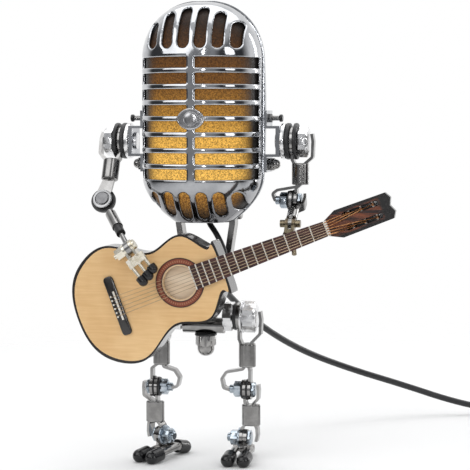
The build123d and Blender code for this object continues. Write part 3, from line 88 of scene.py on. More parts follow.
# ---------------------------------------------------------------- shapes
def joined(parts):
    """One (points, faces) pair from several."""
    points, faces, start = [], [], 0
    for some, around in parts:
        some = np.asarray(some, float).reshape(-1, 3)
        faces += [[corner + start for corner in face] for face in around]
        points.append(some)
        start += len(some)
    return np.concatenate(points), faces


def turned(rows, around=40, flats=None, phase=0.0, thread=None):
    """Rows of (height, radius) carried round Z: radius as a function of height and angle.

    With flats, each plan is the smaller of the circle and a hexagon, so a falling radius
    cuts the hexagon's corners as a chamfer. A thread adds (pitch, depth) as a wave of height
    over pitch less angle over a turn."""
    heights, radii = np.array(rows, float).T
    angle = np.arange(around) / around * 2 * math.pi
    radius = np.repeat(radii[:, None], around, 1)
    if flats:
        away = (angle - math.radians(phase)) % (math.pi / 3) - math.pi / 6
        radius = np.minimum(radius, flats / 2 / np.cos(away))
    if thread:
        pitch, depth = thread
        wave = np.abs((heights[:, None] / pitch - angle / (2 * math.pi)) % 1 - 0.5) * 2
        radius = radius - depth * wave * (radius > depth * 2)
    height = np.repeat(heights[:, None], around, 1)
    points = np.stack((radius * np.cos(angle), radius * np.sin(angle), height), -1)
    faces = grid_faces(len(rows), around)
    if heights[-1] > heights[0]:
        return points, faces
    return points, [face[::-1] for face in faces]


def edge_rows(low, high, outer, soft):
    """Rows of an outer wall with rounded edges."""
    return [
        (low, outer - soft),
        (low + soft * 0.3, outer - soft * 0.3),
        (low + soft, outer),
        (high - soft, outer),
        (high - soft * 0.3, outer - soft * 0.3),
        (high, outer - soft),
    ]


def ring_rows(low, high, outer, inner, soft):
    """Rows of a washer's closed profile with rounded outer and bevelled inner edges."""
    start = [(low + soft, inner), (low, inner + soft)]
    return start + edge_rows(low, high, outer, soft) + [(high, inner + soft), (high - soft, inner), start[0]]


def disc_rows(low, high, outer, soft):
    """Rows of a closed disc with rounded edges."""
    return [(low, 0)] + edge_rows(low, high, outer, soft) + [(high, 0)]


def hex_rows(low, high, flats, washer=0.0):
    """Rows of a hexagon's chamfered height, with a raised round face of the given height on its outer end."""
    corner = flats / 2 / math.cos(math.pi / 6)
    face = flats / 2 * 0.94
    fall = (corner - face) * 0.5
    top = high - washer
    rows = [(low, 0), (low, face), (low + fall, corner), (top - fall, corner), (top, face)]
    if washer:
        rows += [(top, face * 0.93), (high, face * 0.88), (high, face * 0.6)]
    return rows + [(rows[-1][0], 0)]


def thread_rows(low, high, radius, pitch):
    """Rows of a threaded rod with a chamfered outer end, four to a turn of its thread."""
    count = int((high - low) / pitch * 4)
    heights = np.linspace(low, high - 0.3, count)
    return [(low, 0)] + [(h, radius) for h in heights] + [(high, radius * 0.8), (high, 0)]


def aimed(pair, centre, axis, side=None):
    """A shape with its Z turned along an axis and its X as near a side as it can, moved to a centre."""
    points, faces = pair
    up = np.array(axis, float) / np.linalg.norm(axis)
    side = np.array(side if side is not None else ((0, 1, 0) if abs(up[1]) < 0.9 else (1, 0, 0)), float)
    side = side - up * side.dot(up)
    side /= np.linalg.norm(side)
    basis = np.stack((side, np.cross(up, side), up))
    return np.asarray(points).reshape(-1, 3) @ basis + np.array(centre, float), faces


def plate(outline, low, high, soft):
    """A closed slab over an outline, which shrinks along its normals at each end into rounded edges."""
    outline = np.asarray(outline, float)
    middle = outline.mean(0)
    ahead = np.roll(outline, -1, 0) - np.roll(outline, 1, 0)
    normal = np.stack((ahead[:, 1], -ahead[:, 0]), -1)
    normal /= np.linalg.norm(normal, axis=1, keepdims=True)
    bend = np.linspace(0, math.pi / 2, 4)
    rows = [(low, None)]
    for b in bend:
        rows.append((low + soft * (1 - math.cos(b)), soft * (1 - math.sin(b))))
    for b in bend[::-1]:
        rows.append((high - soft * (1 - math.cos(b)), soft * (1 - math.sin(b))))
    rows.append((high, None))
    points = []
    for height, inset in rows:
        ring = np.repeat(middle[None], len(outline), 0) if inset is None else outline - normal * inset
        points.append(np.column_stack((ring, np.full(len(outline), height))))
    return np.stack(points), grid_faces(len(rows), len(outline))


def moved(pair, shift):
    """A shape moved by a shift."""
    return np.asarray(pair[0]).reshape(-1, 3) + np.array(shift, float), pair[1]


def rounded_outline(width, height, corner, per_corner=5):
    """The outline of a rectangle with round corners, anticlockwise."""
    points = []
    for quarter, (sx, sy) in enumerate(((1, 1), (-1, 1), (-1, -1), (1, -1))):
        angle = math.radians(90 * quarter) + np.linspace(0, math.pi / 2, per_corner)
        centre = (sx * (width / 2 - corner), sy * (height / 2 - corner))
        points += [(centre[0] + corner * math.cos(a), centre[1] + corner * math.sin(a)) for a in angle]
    return np.array(points)


def tube(path, radius, around):
    """A closed round profile carried along a path, turned as little as possible from point to point."""
    path = np.asarray(path, float)
    radius = np.broadcast_to(np.asarray(radius, float), (len(path),))
    ahead = np.gradient(path, axis=0)
    ahead /= np.linalg.norm(ahead, axis=1, keepdims=True)
    side = np.zeros_like(path)
    start = np.cross(ahead[0], (0.31, 0.23, 0.92))
    side[0] = start / np.linalg.norm(start)
    for i in range(1, len(path)):
        turn = side[i - 1] - ahead[i] * side[i - 1].dot(ahead[i])
        side[i] = turn / np.linalg.norm(turn)
    up = np.cross(ahead, side)
    angle = np.arange(around) / around * 2 * math.pi
    ring = side[:, None] * np.cos(angle)[:, None] + up[:, None] * np.sin(angle)[:, None]
    first = np.repeat(path[:1], around, 0)[None]
    last = np.repeat(path[-1:], around, 0)[None]
    points = np.concatenate((first, path[:, None] + ring * radius[:, None, None], last))
    return points, grid_faces(len(points), around)


def make_piece(name, pair, finish, body, replaced=()):
    """A mesh piece with its finish that rides on a body and may stand for nodes."""
    points, faces = pair
    piece = mesh_piece(name, points, faces)
    work = bmesh.new()
    work.from_mesh(piece.data)
    bmesh.ops.remove_doubles(work, verts=work.verts, dist=1e-7)
    bmesh.ops.dissolve_degenerate(work, edges=work.edges, dist=1e-8)
    bmesh.ops.recalc_face_normals(work, faces=work.faces)
    work.to_mesh(piece.data)
    work.free()
    piece.data.set_sharp_from_angle(angle=SHARP_EDGE)
    settle(piece, finish, body, replaced)
    return piece


def settle(piece, finish, body, replaced=()):
    """Gives a piece its finish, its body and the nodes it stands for."""
    piece.data.materials.append(FINISHES[finish])
    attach(piece, body)
    if replaced:
        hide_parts(*replaced)


def softened(node, width, finish=None):
    """A copy of a node whose loose triangles are merged and whose edges are rounded by a width."""
    source = NODES[node]
    piece = bpy.data.objects.new(f"{node}_soft", source.data.copy())
    bpy.context.scene.collection.objects.link(piece)
    piece.data.materials.clear()
    work = bmesh.new()
    work.from_mesh(piece.data)
    bmesh.ops.remove_doubles(work, verts=work.verts, dist=2e-6)
    bmesh.ops.dissolve_limit(
        work, angle_limit=FLAT_EDGE, verts=work.verts, edges=work.edges, use_dissolve_boundaries=False
    )
    work.to_mesh(piece.data)
    work.free()
    if "custom_normal" in piece.data.attributes:
        piece.data.attributes.remove(piece.data.attributes["custom_normal"])
    bevel = piece.modifiers.new("edges", "BEVEL")
    bevel.width = width * MM
    bevel.segments = 2
    bevel.limit_method = "ANGLE"
    bevel.angle_limit = BEVELLED_EDGE
    bevel.use_clamp_overlap = True
    bevel.harden_normals = True
    piece.data.polygons.foreach_set("use_smooth", np.full(len(piece.data.polygons), True))
    settle(piece, finish or ROW_SLOTS[node], frame_body(node), (node,))
    return piece


def frame_body(node):
    """The body that a node belongs to."""
    return next(body for body, nodes in frame["record"]["behaviour"]["bodies"].items() if node in nodes)


ROW_SLOTS = {row["node"]: row["material_slot"] for row in frame["record"]["subparts"]}


# ---------------------------------------------------------------- materials
class Wire:
    """An output of a finish's node tree. Arithmetic on it adds Math nodes."""

    def __init__(self, finish, socket):
        self.finish = finish
        self.socket = socket

    def maths(self, operation, *others, first=None):
        values = [self, *others] if first is None else [first, self]
        return self.finish.node("ShaderNodeMath", {"operation": operation}, dict(enumerate(values)))

    def __add__(self, other):
        return self.maths("ADD", other)

    __radd__ = __add__

    def __sub__(self, other):
        return self.maths("SUBTRACT", other)

    def __rsub__(self, other):
        return self.maths("SUBTRACT", first=other)

    def __mul__(self, other):
        return self.maths("MULTIPLY", other)

    __rmul__ = __mul__

    def __truediv__(self, other):
        return self.maths("DIVIDE", other)

    def step(self, low, high):
        """0 below low, 1 above high and a smooth rise between."""
        sockets = {"Value": self, "From Min": low, "From Max": high}
        return self.finish.node("ShaderNodeMapRange", {"interpolation_type": "SMOOTHSTEP"}, sockets)


class Nodes:
    """A tree of nodes that is built up by calls."""

    def __init__(self, tree):
        self.tree = tree
        self.columns = 0

    def node(self, kind, settings=None, sockets=None, output=0):
        """Adds a node: its settings first, then the values or wires of its sockets; gives one output."""
        made = self.tree.nodes.new(kind)
        self.columns += 1
        made.location = (-220 * (self.columns // 6 + 1), -180 * (self.columns % 6))
        for key, value in (settings or {}).items():
            if key == "stops":
                ramp = made.color_ramp.elements
                while len(ramp) < len(value):
                    ramp.new(0.5)
                for stop, (place, colour) in zip(ramp, value):
                    stop.position = place
                    stop.color = (*colour, 1.0)
            else:
                setattr(made, key, value)
        for key, value in (sockets or {}).items():
            self.feed(made.inputs[key], value)
        return Wire(self, made.outputs[output])

    def feed(self, socket, value):
        """Links a wire to a socket or sets its value; a colour gets its fourth number."""
        if isinstance(value, Wire):
            self.tree.links.new(value.socket, socket)
        elif isinstance(value, (tuple, list)) and len(value) == 3 and socket.type == "RGBA":
            socket.default_value = (*value, 1.0)
        else:
            socket.default_value = value

    def place(self):
        """Object coordinates."""
        return self.node("ShaderNodeTexCoord", output="Object")

    def turned(self, angles=(0, 0, 0), origin=(0, 0, 0), scale=(1, 1, 1)):
        """Object coordinates turned by angles and stretched, about an origin in the shared frame."""
        moved = self.node("ShaderNodeVectorMath", {"operation": "SUBTRACT"}, {0: self.place(), 1: origin})
        return self.node("ShaderNodeMapping", None, {"Vector": moved, "Rotation": angles, "Scale": scale})

    def parts(self, vector):
        """The three numbers of a vector."""
        split = self.node("ShaderNodeSeparateXYZ", None, {0: vector}).socket.node
        return tuple(Wire(self, split.outputs[axis]) for axis in "XYZ")

    def ramp(self, amount, *stops):
        """A colour that changes along a number from 0 to 1."""
        return self.node("ShaderNodeValToRGB", {"stops": stops}, {"Fac": amount})

    def noise(self, scale, detail=3.0, roughness=0.55, where=None):
        """Soft noise from 0 to 1 at a scale per metre."""
        sockets = {"Scale": scale, "Detail": detail, "Roughness": roughness, "Vector": where or self.place()}
        return self.node("ShaderNodeTexNoise", None, sockets, "Fac")

    def cells(self, scale):
        """A chance number for each cell of a foam at a scale per metre."""
        sockets = {"Scale": scale, "Vector": self.place()}
        return self.node("ShaderNodeTexVoronoi", None, sockets, "Color") * 1.0

    def blend(self, amount, low, high):
        """A colour between two colours or wires."""
        settings = {"data_type": "RGBA"}
        return self.node("ShaderNodeMix", settings, {0: amount, 6: low, 7: high}, 2)

    def bump(self, height, distance):
        """Normals of a surface raised by a height times a distance in metres."""
        return self.node("ShaderNodeBump", None, {"Height": height, "Distance": distance, "Strength": 1.0})


class Finish(Nodes):
    """A material that is built up from nodes."""

    def __init__(self, name):
        self.name = name
        self.material = bpy.data.materials.new(name)
        self.material.use_nodes = True
        super().__init__(self.material.node_tree)
        self.shader = self.tree.nodes["Principled BSDF"]

    def shade(self, **sockets):
        """Sets the shader's sockets, named with _ for a space."""
        for key, value in sockets.items():
            self.feed(self.shader.inputs[key.replace("_", " ").title()], value)
        return self


def metal(name, colour, dark, roughness, spread, grain, depth, blotch, wave=0.0):
    """A metal whose tone, gloss and surface vary in soft blotches and a fine grain, and may be wavy."""
    f = Finish(name)
    patch = f.noise(blotch, 4.0, 0.6)
    fine = f.noise(grain, 2.0, 0.5)
    height = fine * 0.35 + patch
    if wave:
        height = height + f.noise(230.0, 2.0, 0.4) * wave
    return f.shade(
        base_color=f.blend(patch.step(0.32, 0.68), dark, colour),
        metallic=1.0,
        roughness=roughness + (fine * 0.5 + patch * 0.5 - 0.5) * spread,
        normal=f.bump(height, depth),
    )


def rubber(name, low, high, roughness, depth=0.00002):
    """Black rubber or plastic whose tone varies softly and whose gloss and surface have a fine grain."""
    f = Finish(name)
    fine = f.noise(1800, 2.0)
    return f.shade(
        base_color=f.blend(f.noise(220), low, high),
        roughness=roughness + fine * 0.16,
        normal=f.bump(fine, depth),
    )


HOLE = (-0.0227, -0.0243, 0.0849)  # the sound hole's centre in the shared frame
GUITAR_TILT = math.radians(20.9)


def glitter_cloth():
    """Gold glitter cloth with the light of the bulb below it painted on as a glow: its painted glow falls with
    height and towards the seam, and fades on its left side.
    """
    f = Finish("grille_cloth")
    x, y, z = f.parts(f.place())
    grains = f.cells(2300)
    fleck = f.cells(4200)
    # Painted light: the bulb's glow on the cloth, brightest just above the bulb and falling with height.
    glow = f.ramp(
        (z - 0.108) / 0.104,
        (0.00, (0.010, 0.008, 0.008)),
        (0.07, (0.040, 0.020, 0.010)),
        (0.14, (0.300, 0.130, 0.022)),
        (0.22, (0.900, 0.520, 0.110)),
        (0.38, (0.860, 0.470, 0.085)),
        (0.50, (0.400, 0.190, 0.030)),
        (0.62, (0.190, 0.078, 0.016)),
        (0.74, (0.110, 0.046, 0.012)),
        (0.81, (0.060, 0.026, 0.009)),
        (0.88, (0.014, 0.007, 0.004)),
        (1.00, (0.003, 0.003, 0.004)),
    )
    # Painted shade: the glow and the glitter fade towards the seam and on the left side.
    away = f.node("ShaderNodeMath", {"operation": "ABSOLUTE"}, {0: y - 0.0037})
    lit = away.step(0.0085, 0.0215) * x.step(-0.0425, -0.0325)
    # Painted glints: the glitter's sparkle is painted into the glow as bright cells.
    shine = 0.45 + grains.step(0.20, 0.80) * 0.55 + fleck.step(0.62, 0.80) * 0.55
    dark = (0.004, 0.004, 0.004)
    painted_glow = f.blend(shine * lit * 0.62, dark, glow)
    # Painted shade in the base colour: gold-brown low on the cloth, darkening with height, and near black
    # towards the seam and on the left side.
    tone_with_painted_shade = f.blend(z.step(0.125, 0.19), (0.24, 0.13, 0.03), (0.030, 0.015, 0.008))
    base = f.blend(grains.step(0.25, 0.8) * lit, (0.012, 0.008, 0.006), tone_with_painted_shade)
    f.shader.inputs["Specular IOR Level"].default_value = 0.12
    # The painted glow is given as emission, so the cloth glows though it is no lamp.
    return f.shade(
        base_color=base,
        roughness=0.30 + fleck * 0.4,
        emission_color=painted_glow,
        emission_strength=1.5,
        normal=f.bump(grains, 0.0002),
    )


def grille_chrome():
    """Chrome with painted shade: darker low on the chin and where the wall of a slot turns inwards."""
    f = metal("grille_chrome", (0.58, 0.59, 0.61), (0.42, 0.43, 0.45), 0.10, 0.05, 900, 0.00003, 120, 1.2)
    # Painted shade: the walls that turn inwards into the slots are darkened in the base colour.
    rim = f.node("ShaderNodeAttribute", {"attribute_name": "rim"}, output="Fac")
    tone = f.shader.inputs["Base Color"].links[0].from_socket
    _, _, z = f.parts(f.place())
    # Painted shade: the base colour darkens low on the chin.
    low = f.blend(z.step(0.111, 0.137), (0.17, 0.17, 0.18), Wire(f, tone))
    return f.shade(base_color=f.blend(rim.step(0.45, 0.9), low, (0.10, 0.10, 0.11)))


def spruce():
    """Pale tonewood: close grain lines along the guitar, with a honey tint in broad patches."""
    f = Finish("spruce")
    where = f.turned((0, GUITAR_TILT, 0), HOLE, (0.06, 1, 1))
    lines = f.noise(900, 3.0, 0.6, where)
    broad = f.noise(45, 3.0, 0.6)
    share = lines.step(0.35, 0.7) * 0.45 + broad.step(0.3, 0.7) * 0.55
    tone = f.blend(share, (0.72, 0.44, 0.19), (0.86, 0.58, 0.285))
    gloss = 0.34 + lines * 0.16
    return f.shade(base_color=tone, roughness=gloss, coat_weight=0.2, normal=f.bump(lines, 0.00001))


def rosette():
    """Rings about the sound hole: pale, dark, red-brown with a ring of light dashes, and dark again."""
    f = Finish("rosette")
    where = f.turned((0, GUITAR_TILT, 0), HOLE, (1, 0, 1))
    u, _, v = f.parts(where)
    reach = f.node("ShaderNodeVectorMath", {"operation": "LENGTH"}, {0: where}, "Value") * 1000.0
    angle = f.node("ShaderNodeMath", {"operation": "ARCTAN2"}, {0: v, 1: u})
    red = (0.22, 0.050, 0.022)
    dark = (0.028, 0.010, 0.008)
    tone = f.ramp(
        (reach - 7.0) / 4.2,
        (0.00, (0.70, 0.50, 0.30)),
        (0.24, (0.70, 0.50, 0.30)),
        (0.29, dark),
        (0.35, dark),
        (0.40, red),
        (0.84, red),
        (0.90, dark),
        (1.00, dark),
    )
    wave = f.node("ShaderNodeMath", {"operation": "SINE"}, {0: angle * 58.0})
    band = (reach - 9.5) * (reach - 9.5)
    dash = wave.step(0.1, 0.5) * (1.0 - band.step(0.10, 0.30))
    tone = f.blend(dash * 0.75, tone, (0.52, 0.24, 0.13))
    return f.shade(base_color=tone, roughness=0.36, coat_weight=0.3)


def dark_wood(name, low, high, scale=420.0, roughness=0.4, coat=0.0):
    """Wood or bone whose pores run along the guitar."""
    f = Finish(name)
    pores = f.noise(scale, 4.0, 0.6, f.turned((0, GUITAR_TILT, 0), HOLE, (0.14, 1, 1)))
    return f.shade(
        base_color=f.blend(pores.step(0.3, 0.7), low, high),
        roughness=roughness + pores * 0.12,
        coat_weight=coat,
        normal=f.bump(pores, 0.00002),
    )


def lacquered_head():
    """A head with a red-brown face and black edges, and a black border round the face."""
    f = Finish("headstock")
    where = f.turned((0, GUITAR_TILT, 0), HOLE)
    along, _, across = f.parts(where)
    _, depth, _ = f.parts(f.place())
    streaks = f.noise(520, 4.0, 0.6, f.turned((0, GUITAR_TILT, 0), HOLE, (0.10, 1, 1)))
    face = f.blend(streaks.step(0.42, 0.66), (0.020, 0.007, 0.006), (0.210, 0.058, 0.022))
    away = f.node("ShaderNodeMath", {"operation": "ABSOLUTE"}, {0: across})
    bare = (1.0 - away.step(0.0044, 0.0052)) * (1.0 - along.step(0.0945, 0.0965))
    bare = bare * (1.0 - (depth + 0.0243).step(0.0002, 0.0006))
    tone = f.blend(bare, (0.008, 0.007, 0.007), face)
    return f.shade(base_color=tone, roughness=0.24 + streaks * 0.1, coat_weight=0.35)


def bulb_glass():
    """Frosted warm glass that glows brighter towards its top."""
    f = Finish("bulb")
    _, _, z = f.parts(f.place())
    glow = f.blend(z.step(0.133, 0.150), (0.70, 0.42, 0.18), (1.0, 0.74, 0.42))
    frost = 0.2 + f.noise(300) * 0.1
    return f.shade(base_color=(1.0, 0.93, 0.8), roughness=frost, emission_color=glow, emission_strength=2.0)


FINISHES = {}


# name, light and dark tone, roughness and its spread, grain, height of the bumps, blotch, waviness
METALS = (
    ("chrome", (0.57, 0.58, 0.60), (0.38, 0.39, 0.41), 0.12, 0.06, 900, 0.00002, 160, 0.6),
    ("zinc", (0.52, 0.57, 0.62), (0.30, 0.35, 0.40), 0.18, 0.10, 1400, 0.00001, 320),
    ("steel", (0.38, 0.37, 0.36), (0.27, 0.265, 0.26), 0.15, 0.06, 1200, 0.000003, 200),
    ("bolt", (0.88, 0.88, 0.88), (0.72, 0.72, 0.73), 0.26, 0.08, 1400, 0.000006, 200),
    ("satin", (0.36, 0.355, 0.35), (0.26, 0.255, 0.25), 0.13, 0.05, 1400, 0.000003, 180),
    ("barrel", (0.32, 0.314, 0.307), (0.22, 0.216, 0.212), 0.16, 0.06, 1400, 0.000003, 200),
    ("hand_metal", (0.74, 0.66, 0.50), (0.54, 0.45, 0.30), 0.24, 0.10, 1200, 0.000006, 260),
    ("pearl", (0.84, 0.80, 0.70), (0.64, 0.58, 0.46), 0.24, 0.10, 1200, 0.000006, 260),
    ("bronze", (0.26, 0.22, 0.15), (0.12, 0.09, 0.06), 0.22, 0.10, 1200, 0.000004, 420),
    ("badge", (0.50, 0.50, 0.51), (0.34, 0.34, 0.35), 0.20, 0.08, 1200, 0.00001, 300),
    ("dish", (0.42, 0.42, 0.425), (0.32, 0.32, 0.325), 0.30, 0.06, 1400, 0.000002, 200),
    ("screw", (0.20, 0.20, 0.205), (0.13, 0.13, 0.135), 0.34, 0.08, 1400, 0.000004, 300),
    ("copper", (0.72, 0.36, 0.16), (0.42, 0.18, 0.07), 0.28, 0.10, 1600, 0.00001, 500),
    ("string", (0.55, 0.42, 0.28), (0.40, 0.30, 0.19), 0.32, 0.08, 900, 0.00002, 140),
)
# name, dark and light tone, roughness, height of the bumps
RUBBERS = (
    ("rubber", (0.008, 0.008, 0.009), (0.024, 0.024, 0.026), 0.34),
    ("gloss_rubber", (0.004, 0.004, 0.005), (0.010, 0.010, 0.011), 0.12, 0.000004),
    ("black_plastic", (0.012, 0.012, 0.013), (0.022, 0.022, 0.023), 0.30),
    ("cord", (0.010, 0.010, 0.011), (0.020, 0.020, 0.022), 0.32),
)
# name, dark and light tone, scale of the pores, roughness, lacquer
WOODS = (
    ("guitar_black", (0.006, 0.005, 0.005), (0.018, 0.014, 0.012), 300, 0.18, 0.5),
    ("rosewood", (0.030, 0.010, 0.010), (0.085, 0.030, 0.026)),
    # The inside back is pale bare wood, made paler than the top as painted light in the shaded sound hole.
    ("inside", (0.80, 0.64, 0.46), (0.92, 0.78, 0.60), 300, 0.6),
    ("bone", (0.66, 0.63, 0.56), (0.84, 0.82, 0.76), 700, 0.34),
)


def make_finishes():
    """Makes every finish and keeps it under its own name."""
    for make, recipes in ((metal, METALS), (rubber, RUBBERS), (dark_wood, WOODS)):
        for recipe in recipes:
            FINISHES[recipe[0]] = make(*recipe).material
    for make in (grille_chrome, glitter_cloth, bulb_glass, spruce, rosette, lacquered_head):
        finish = make()
        FINISHES[finish.name] = finish.material


# ---------------------------------------------------------------- settings
def length(name, description, default):
    """A length setting in metres."""
    return bpy.props.FloatProperty(
        name=name, description=description, default=default, subtype="DISTANCE", unit="LENGTH"
    )


def angle(name, description, degrees):
    """An angle setting."""
    return bpy.props.FloatProperty(
        name=name, description=description, default=math.radians(degrees), subtype="ANGLE", unit="ROTATION"
    )


class LampStageSettings(bpy.types.PropertyGroup):
    azimuth: angle("Azimuth", "Camera's turn to the right", 12)
    elevation: angle("Elevation", "Camera's height angle", 4.2)
    distance: length("Distance", "Camera's distance from the lamp", 0.75)
    lens: bpy.props.FloatProperty(name="Lens", description="Focal length in millimetres", default=125.2)
    floor_colour: bpy.props.FloatVectorProperty(
        name="Floor", description="Colour of the floor", default=(0.86, 0.86, 0.86), subtype="COLOR", size=3
    )


class LampCordSettings(bpy.types.PropertyGroup):
    diameter: length("Diameter", "Thickness of the lead", 0.0032)
    turns: bpy.props.IntProperty(name="Turns", description="Turns of the stored coil", default=12)


class LampHeadSettings(bpy.types.PropertyGroup):
    skin: length("Skin", "Thickness of the grille's visible skin", 0.00025)
    edge: length("Edge", "Rounding of the seam band's edges", 0.0003)


class LampHardwareSettings(bpy.types.PropertyGroup):
    pitch: length("Pitch", "Thread pitch of the small bolts", 0.0007)
    depth: length("Depth", "Thread depth of the small bolts", 0.0002)


class LampLimbSettings(bpy.types.PropertyGroup):
    edge: length("Edge", "Rounding of the edges of stamped sheet", 0.00022)


class LampGuitarSettings(bpy.types.PropertyGroup):
    edge: length("Edge", "Rounding of the body's edges", 0.0004)
    thickness: bpy.props.FloatProperty(
        name="Strings", description="Thickness of the strings, as a share of the real one", default=1.0
    )


# ---------------------------------------------------------------- stage
VIEW_CENTRE = (14.2, 104.2)  # the camera's aim: to the right across the view, and up, in millimetres
LIGHT_AIM = (0, 0, 0.12)
FLOOR_HALF = 700.0
FLOOR_DROP = 0.02
# name, place and size in metres, power in watts
LIGHTS = (
    ("key", (-0.55, -0.75, 0.75), (1.0, 1.0), 4.9),
    ("fill", (0.9, -0.5, 0.35), (0.4, 0.5), 1.8),
    ("top", (0.0, 0.25, 1.0), (1.0, 1.0), 4.0),
    ("glint", (0.09, -1.0, 0.32), (0.035, 0.5), 0.8),
    ("edge", (0.6, 0.7, 0.30), (0.06, 0.6), 1.2),
)


class LAMP_OT_stage(bpy.types.Operator):
    """Camera, soft lights, pale floor and white surround"""

    bl_idname = "lamp.stage"
    bl_label = "Stage"

    def execute(self, context):
        stage = context.scene.lamp_stage
        side, height = VIEW_CENTRE
        azimuth, elevation = stage.azimuth, stage.elevation
        target = Vector(spot(side * math.cos(azimuth), side * math.sin(azimuth), height))
        level = math.cos(elevation)
        back = Vector((math.sin(azimuth) * level, -math.cos(azimuth) * level, math.sin(elevation)))
        data = bpy.data.cameras.new("camera")
        data.lens = stage.lens
        data.sensor_width = 36.0
        data.clip_start = 0.01
        camera = bpy.data.objects.new("camera", data)
        context.scene.collection.objects.link(camera)
        camera.location = target + back * stage.distance
        camera.rotation_euler = (-back).to_track_quat("-Z", "Y").to_euler()
        context.scene.camera = camera
        self.floor(stage)
        self.lights()
        self.surround(context.scene)
        return {"FINISHED"}

    def floor(self, stage):
        """A pale round floor that thins out into the surround."""
        corners = ((-1, -1), (1, -1), (1, 1), (-1, 1))
        points = [(x * FLOOR_HALF, y * FLOOR_HALF, -FLOOR_DROP) for x, y in corners]
        floor = mesh_piece("floor", points, [(0, 1, 2, 3)], smooth=False)
        f = Finish("floor")
        f.shade(base_color=tuple(stage.floor_colour), roughness=0.9)
        reach = f.node("ShaderNodeVectorMath", {"operation": "LENGTH"}, {0: f.place()}, "Value")
        clear = f.node("ShaderNodeBsdfTransparent")
        pale = Wire(f, f.shader.outputs[0])
        mixed = f.node("ShaderNodeMixShader", None, {0: reach.step(0.16, 0.55), 1: pale, 2: clear})
        f.tree.links.new(mixed.socket, f.tree.nodes["Material Output"].inputs["Surface"])
        floor.data.materials.append(f.material)

    def lights(self):
        """Soft rectangular lamps that face the object."""
        target = Vector(LIGHT_AIM)
        for name, place, size, power in LIGHTS:
            data = bpy.data.lights.new(name, "AREA")
            data.shape = "RECTANGLE"
            data.size, data.size_y = size
            data.energy = power
            lamp = bpy.data.objects.new(name, data)
            bpy.context.scene.collection.objects.link(lamp)
            lamp.location = place
            lamp.rotation_euler = (target - Vector(place)).to_track_quat("-Z", "Y").to_euler()

    def surround(self, scene):
        """A studio that is white behind the object, grey in front, dark to the sides and bright overhead."""
        scene.view_settings.view_transform = "Standard"
        world = bpy.data.worlds.new("surround")
        scene.world = world
        world.use_nodes = True
        f = Nodes(world.node_tree)
        aside, behind, up = f.parts(f.node("ShaderNodeTexCoord", output="Generated"))
        level = f.blend((aside * aside).step(0.10, 0.42), (0.32, 0.325, 0.335), (0.05, 0.051, 0.054))
        front = f.blend(up.step(0.25, 0.85), level, (0.72, 0.73, 0.74))
        colour = f.blend(behind.step(0.05, 0.55), front, (1.0, 1.0, 1.0))
        f.feed(f.tree.nodes["Background"].inputs["Color"], colour)


# ---------------------------------------------------------------- cords
ROUTE_TO_SWITCH = [
    (1.0, 13.0, 79.0),
    (1.0, 27.0, 79.0),
    (6.0, 46.0, 67.0),
    (16.0, 64.0, 53.0),
    (32.0, 88.0, 38.5),
    (54.0, 111.0, 26.5),
    (79.0, 128.0, 16.5),
    (104.0, 138.0, 7.0),
    (128.0, 140.0, 2.6),
    (144.0, 130.0, 1.9),
    (152.0, 115.0, 2.6),
    (152.0, 102.0, 2.6),
]
ROUTE_TO_COIL = [(152.0, 56.0, 2.6), (152.0, 43.0, 2.6)]
PLUG_X = 190.0
PLUG_Z = 4.0
ROUTE_TO_PLUG = [(192.4, 27.5, 8.0), (192.9, 34.0, 7.0), (190.7, 40.0, 4.4), (PLUG_X, 46.0, PLUG_Z)]
COIL_CENTRE = (169.6, 25.0)
COIL_RADIUS = 17.6
COIL_GAP = 3.07
COIL_RISE = 3.1
COIL_SHORT = 0.57  # the share of a turn by which the coil stops early
TURN_POINTS = 16


def cord_curve(name, route, diameter):
    """A round cord on a smooth spline that the route's points pull towards them."""
    curve = bpy.data.curves.new(name, "CURVE")
    curve.dimensions = "3D"
    curve.bevel_depth = diameter / 2
    curve.bevel_resolution = 4
    curve.resolution_u = 8
    curve.use_fill_caps = True
    spline = curve.splines.new("NURBS")
    spline.points.add(len(route) - 1)
    for point, place in zip(spline.points, route):
        point.co = (*spot(*place), 1.0)
    spline.order_u = 3
    spline.use_endpoint_u = True
    piece = bpy.data.objects.new(name, curve)
    bpy.context.scene.collection.objects.link(piece)
    piece.data.materials.append(FINISHES["cord"])
    return piece


def coil_route(turns, diameter):
    """Turns in three layers of four: outwards, back inwards and outwards again as the angle grows.

    It starts at 200 degrees and stops at the coil's right side, where the run to the plug leaves it."""
    slots = [((k - 1.5) * way, layer) for layer, way in enumerate((1, -1, 1)) for k in range(4)][:turns]
    count = round((turns - COIL_SHORT) * TURN_POINTS)
    angle = math.radians(200.0) + np.arange(count) / TURN_POINTS * 2 * math.pi
    turn = np.arange(count) / TURN_POINTS
    place = np.arange(turns) + 0.5
    across = np.interp(turn, place, [s[0] for s in slots]) * COIL_GAP
    up = np.interp(turn, place, [s[1] for s in slots]) * COIL_RISE + diameter / MM / 2 + 0.05
    radius = COIL_RADIUS + across
    x = COIL_CENTRE[0] + radius * np.cos(angle)
    y = COIL_CENTRE[1] + radius * np.sin(angle)
    return [tuple(p) for p in np.stack((x, y, up), -1)]


def centreline(cord):
    """The points of a cord's own line, in the lamp's millimetres."""
    bare = bpy.data.objects.new("bare", cord.data.copy())
    bare.data.bevel_depth = 0.0
    line = bpy.data.meshes.new_from_object(bare)
    points = np.zeros(len(line.vertices) * 3)
    line.vertices.foreach_get("co", points)
    bpy.data.meshes.remove(line)
    bpy.data.curves.remove(bare.data)
    return points.reshape(-1, 3) / MM - AXIS


def stretch(points, start, end):
    """The part of a line between two distances along it, with even steps."""
    along = np.concatenate(((0,), np.cumsum(np.linalg.norm(np.diff(points, axis=0), axis=1))))
    wanted = np.linspace(start, end, 40)
    return np.stack([np.interp(wanted, along, points[:, axis]) for axis in range(3)], -1)


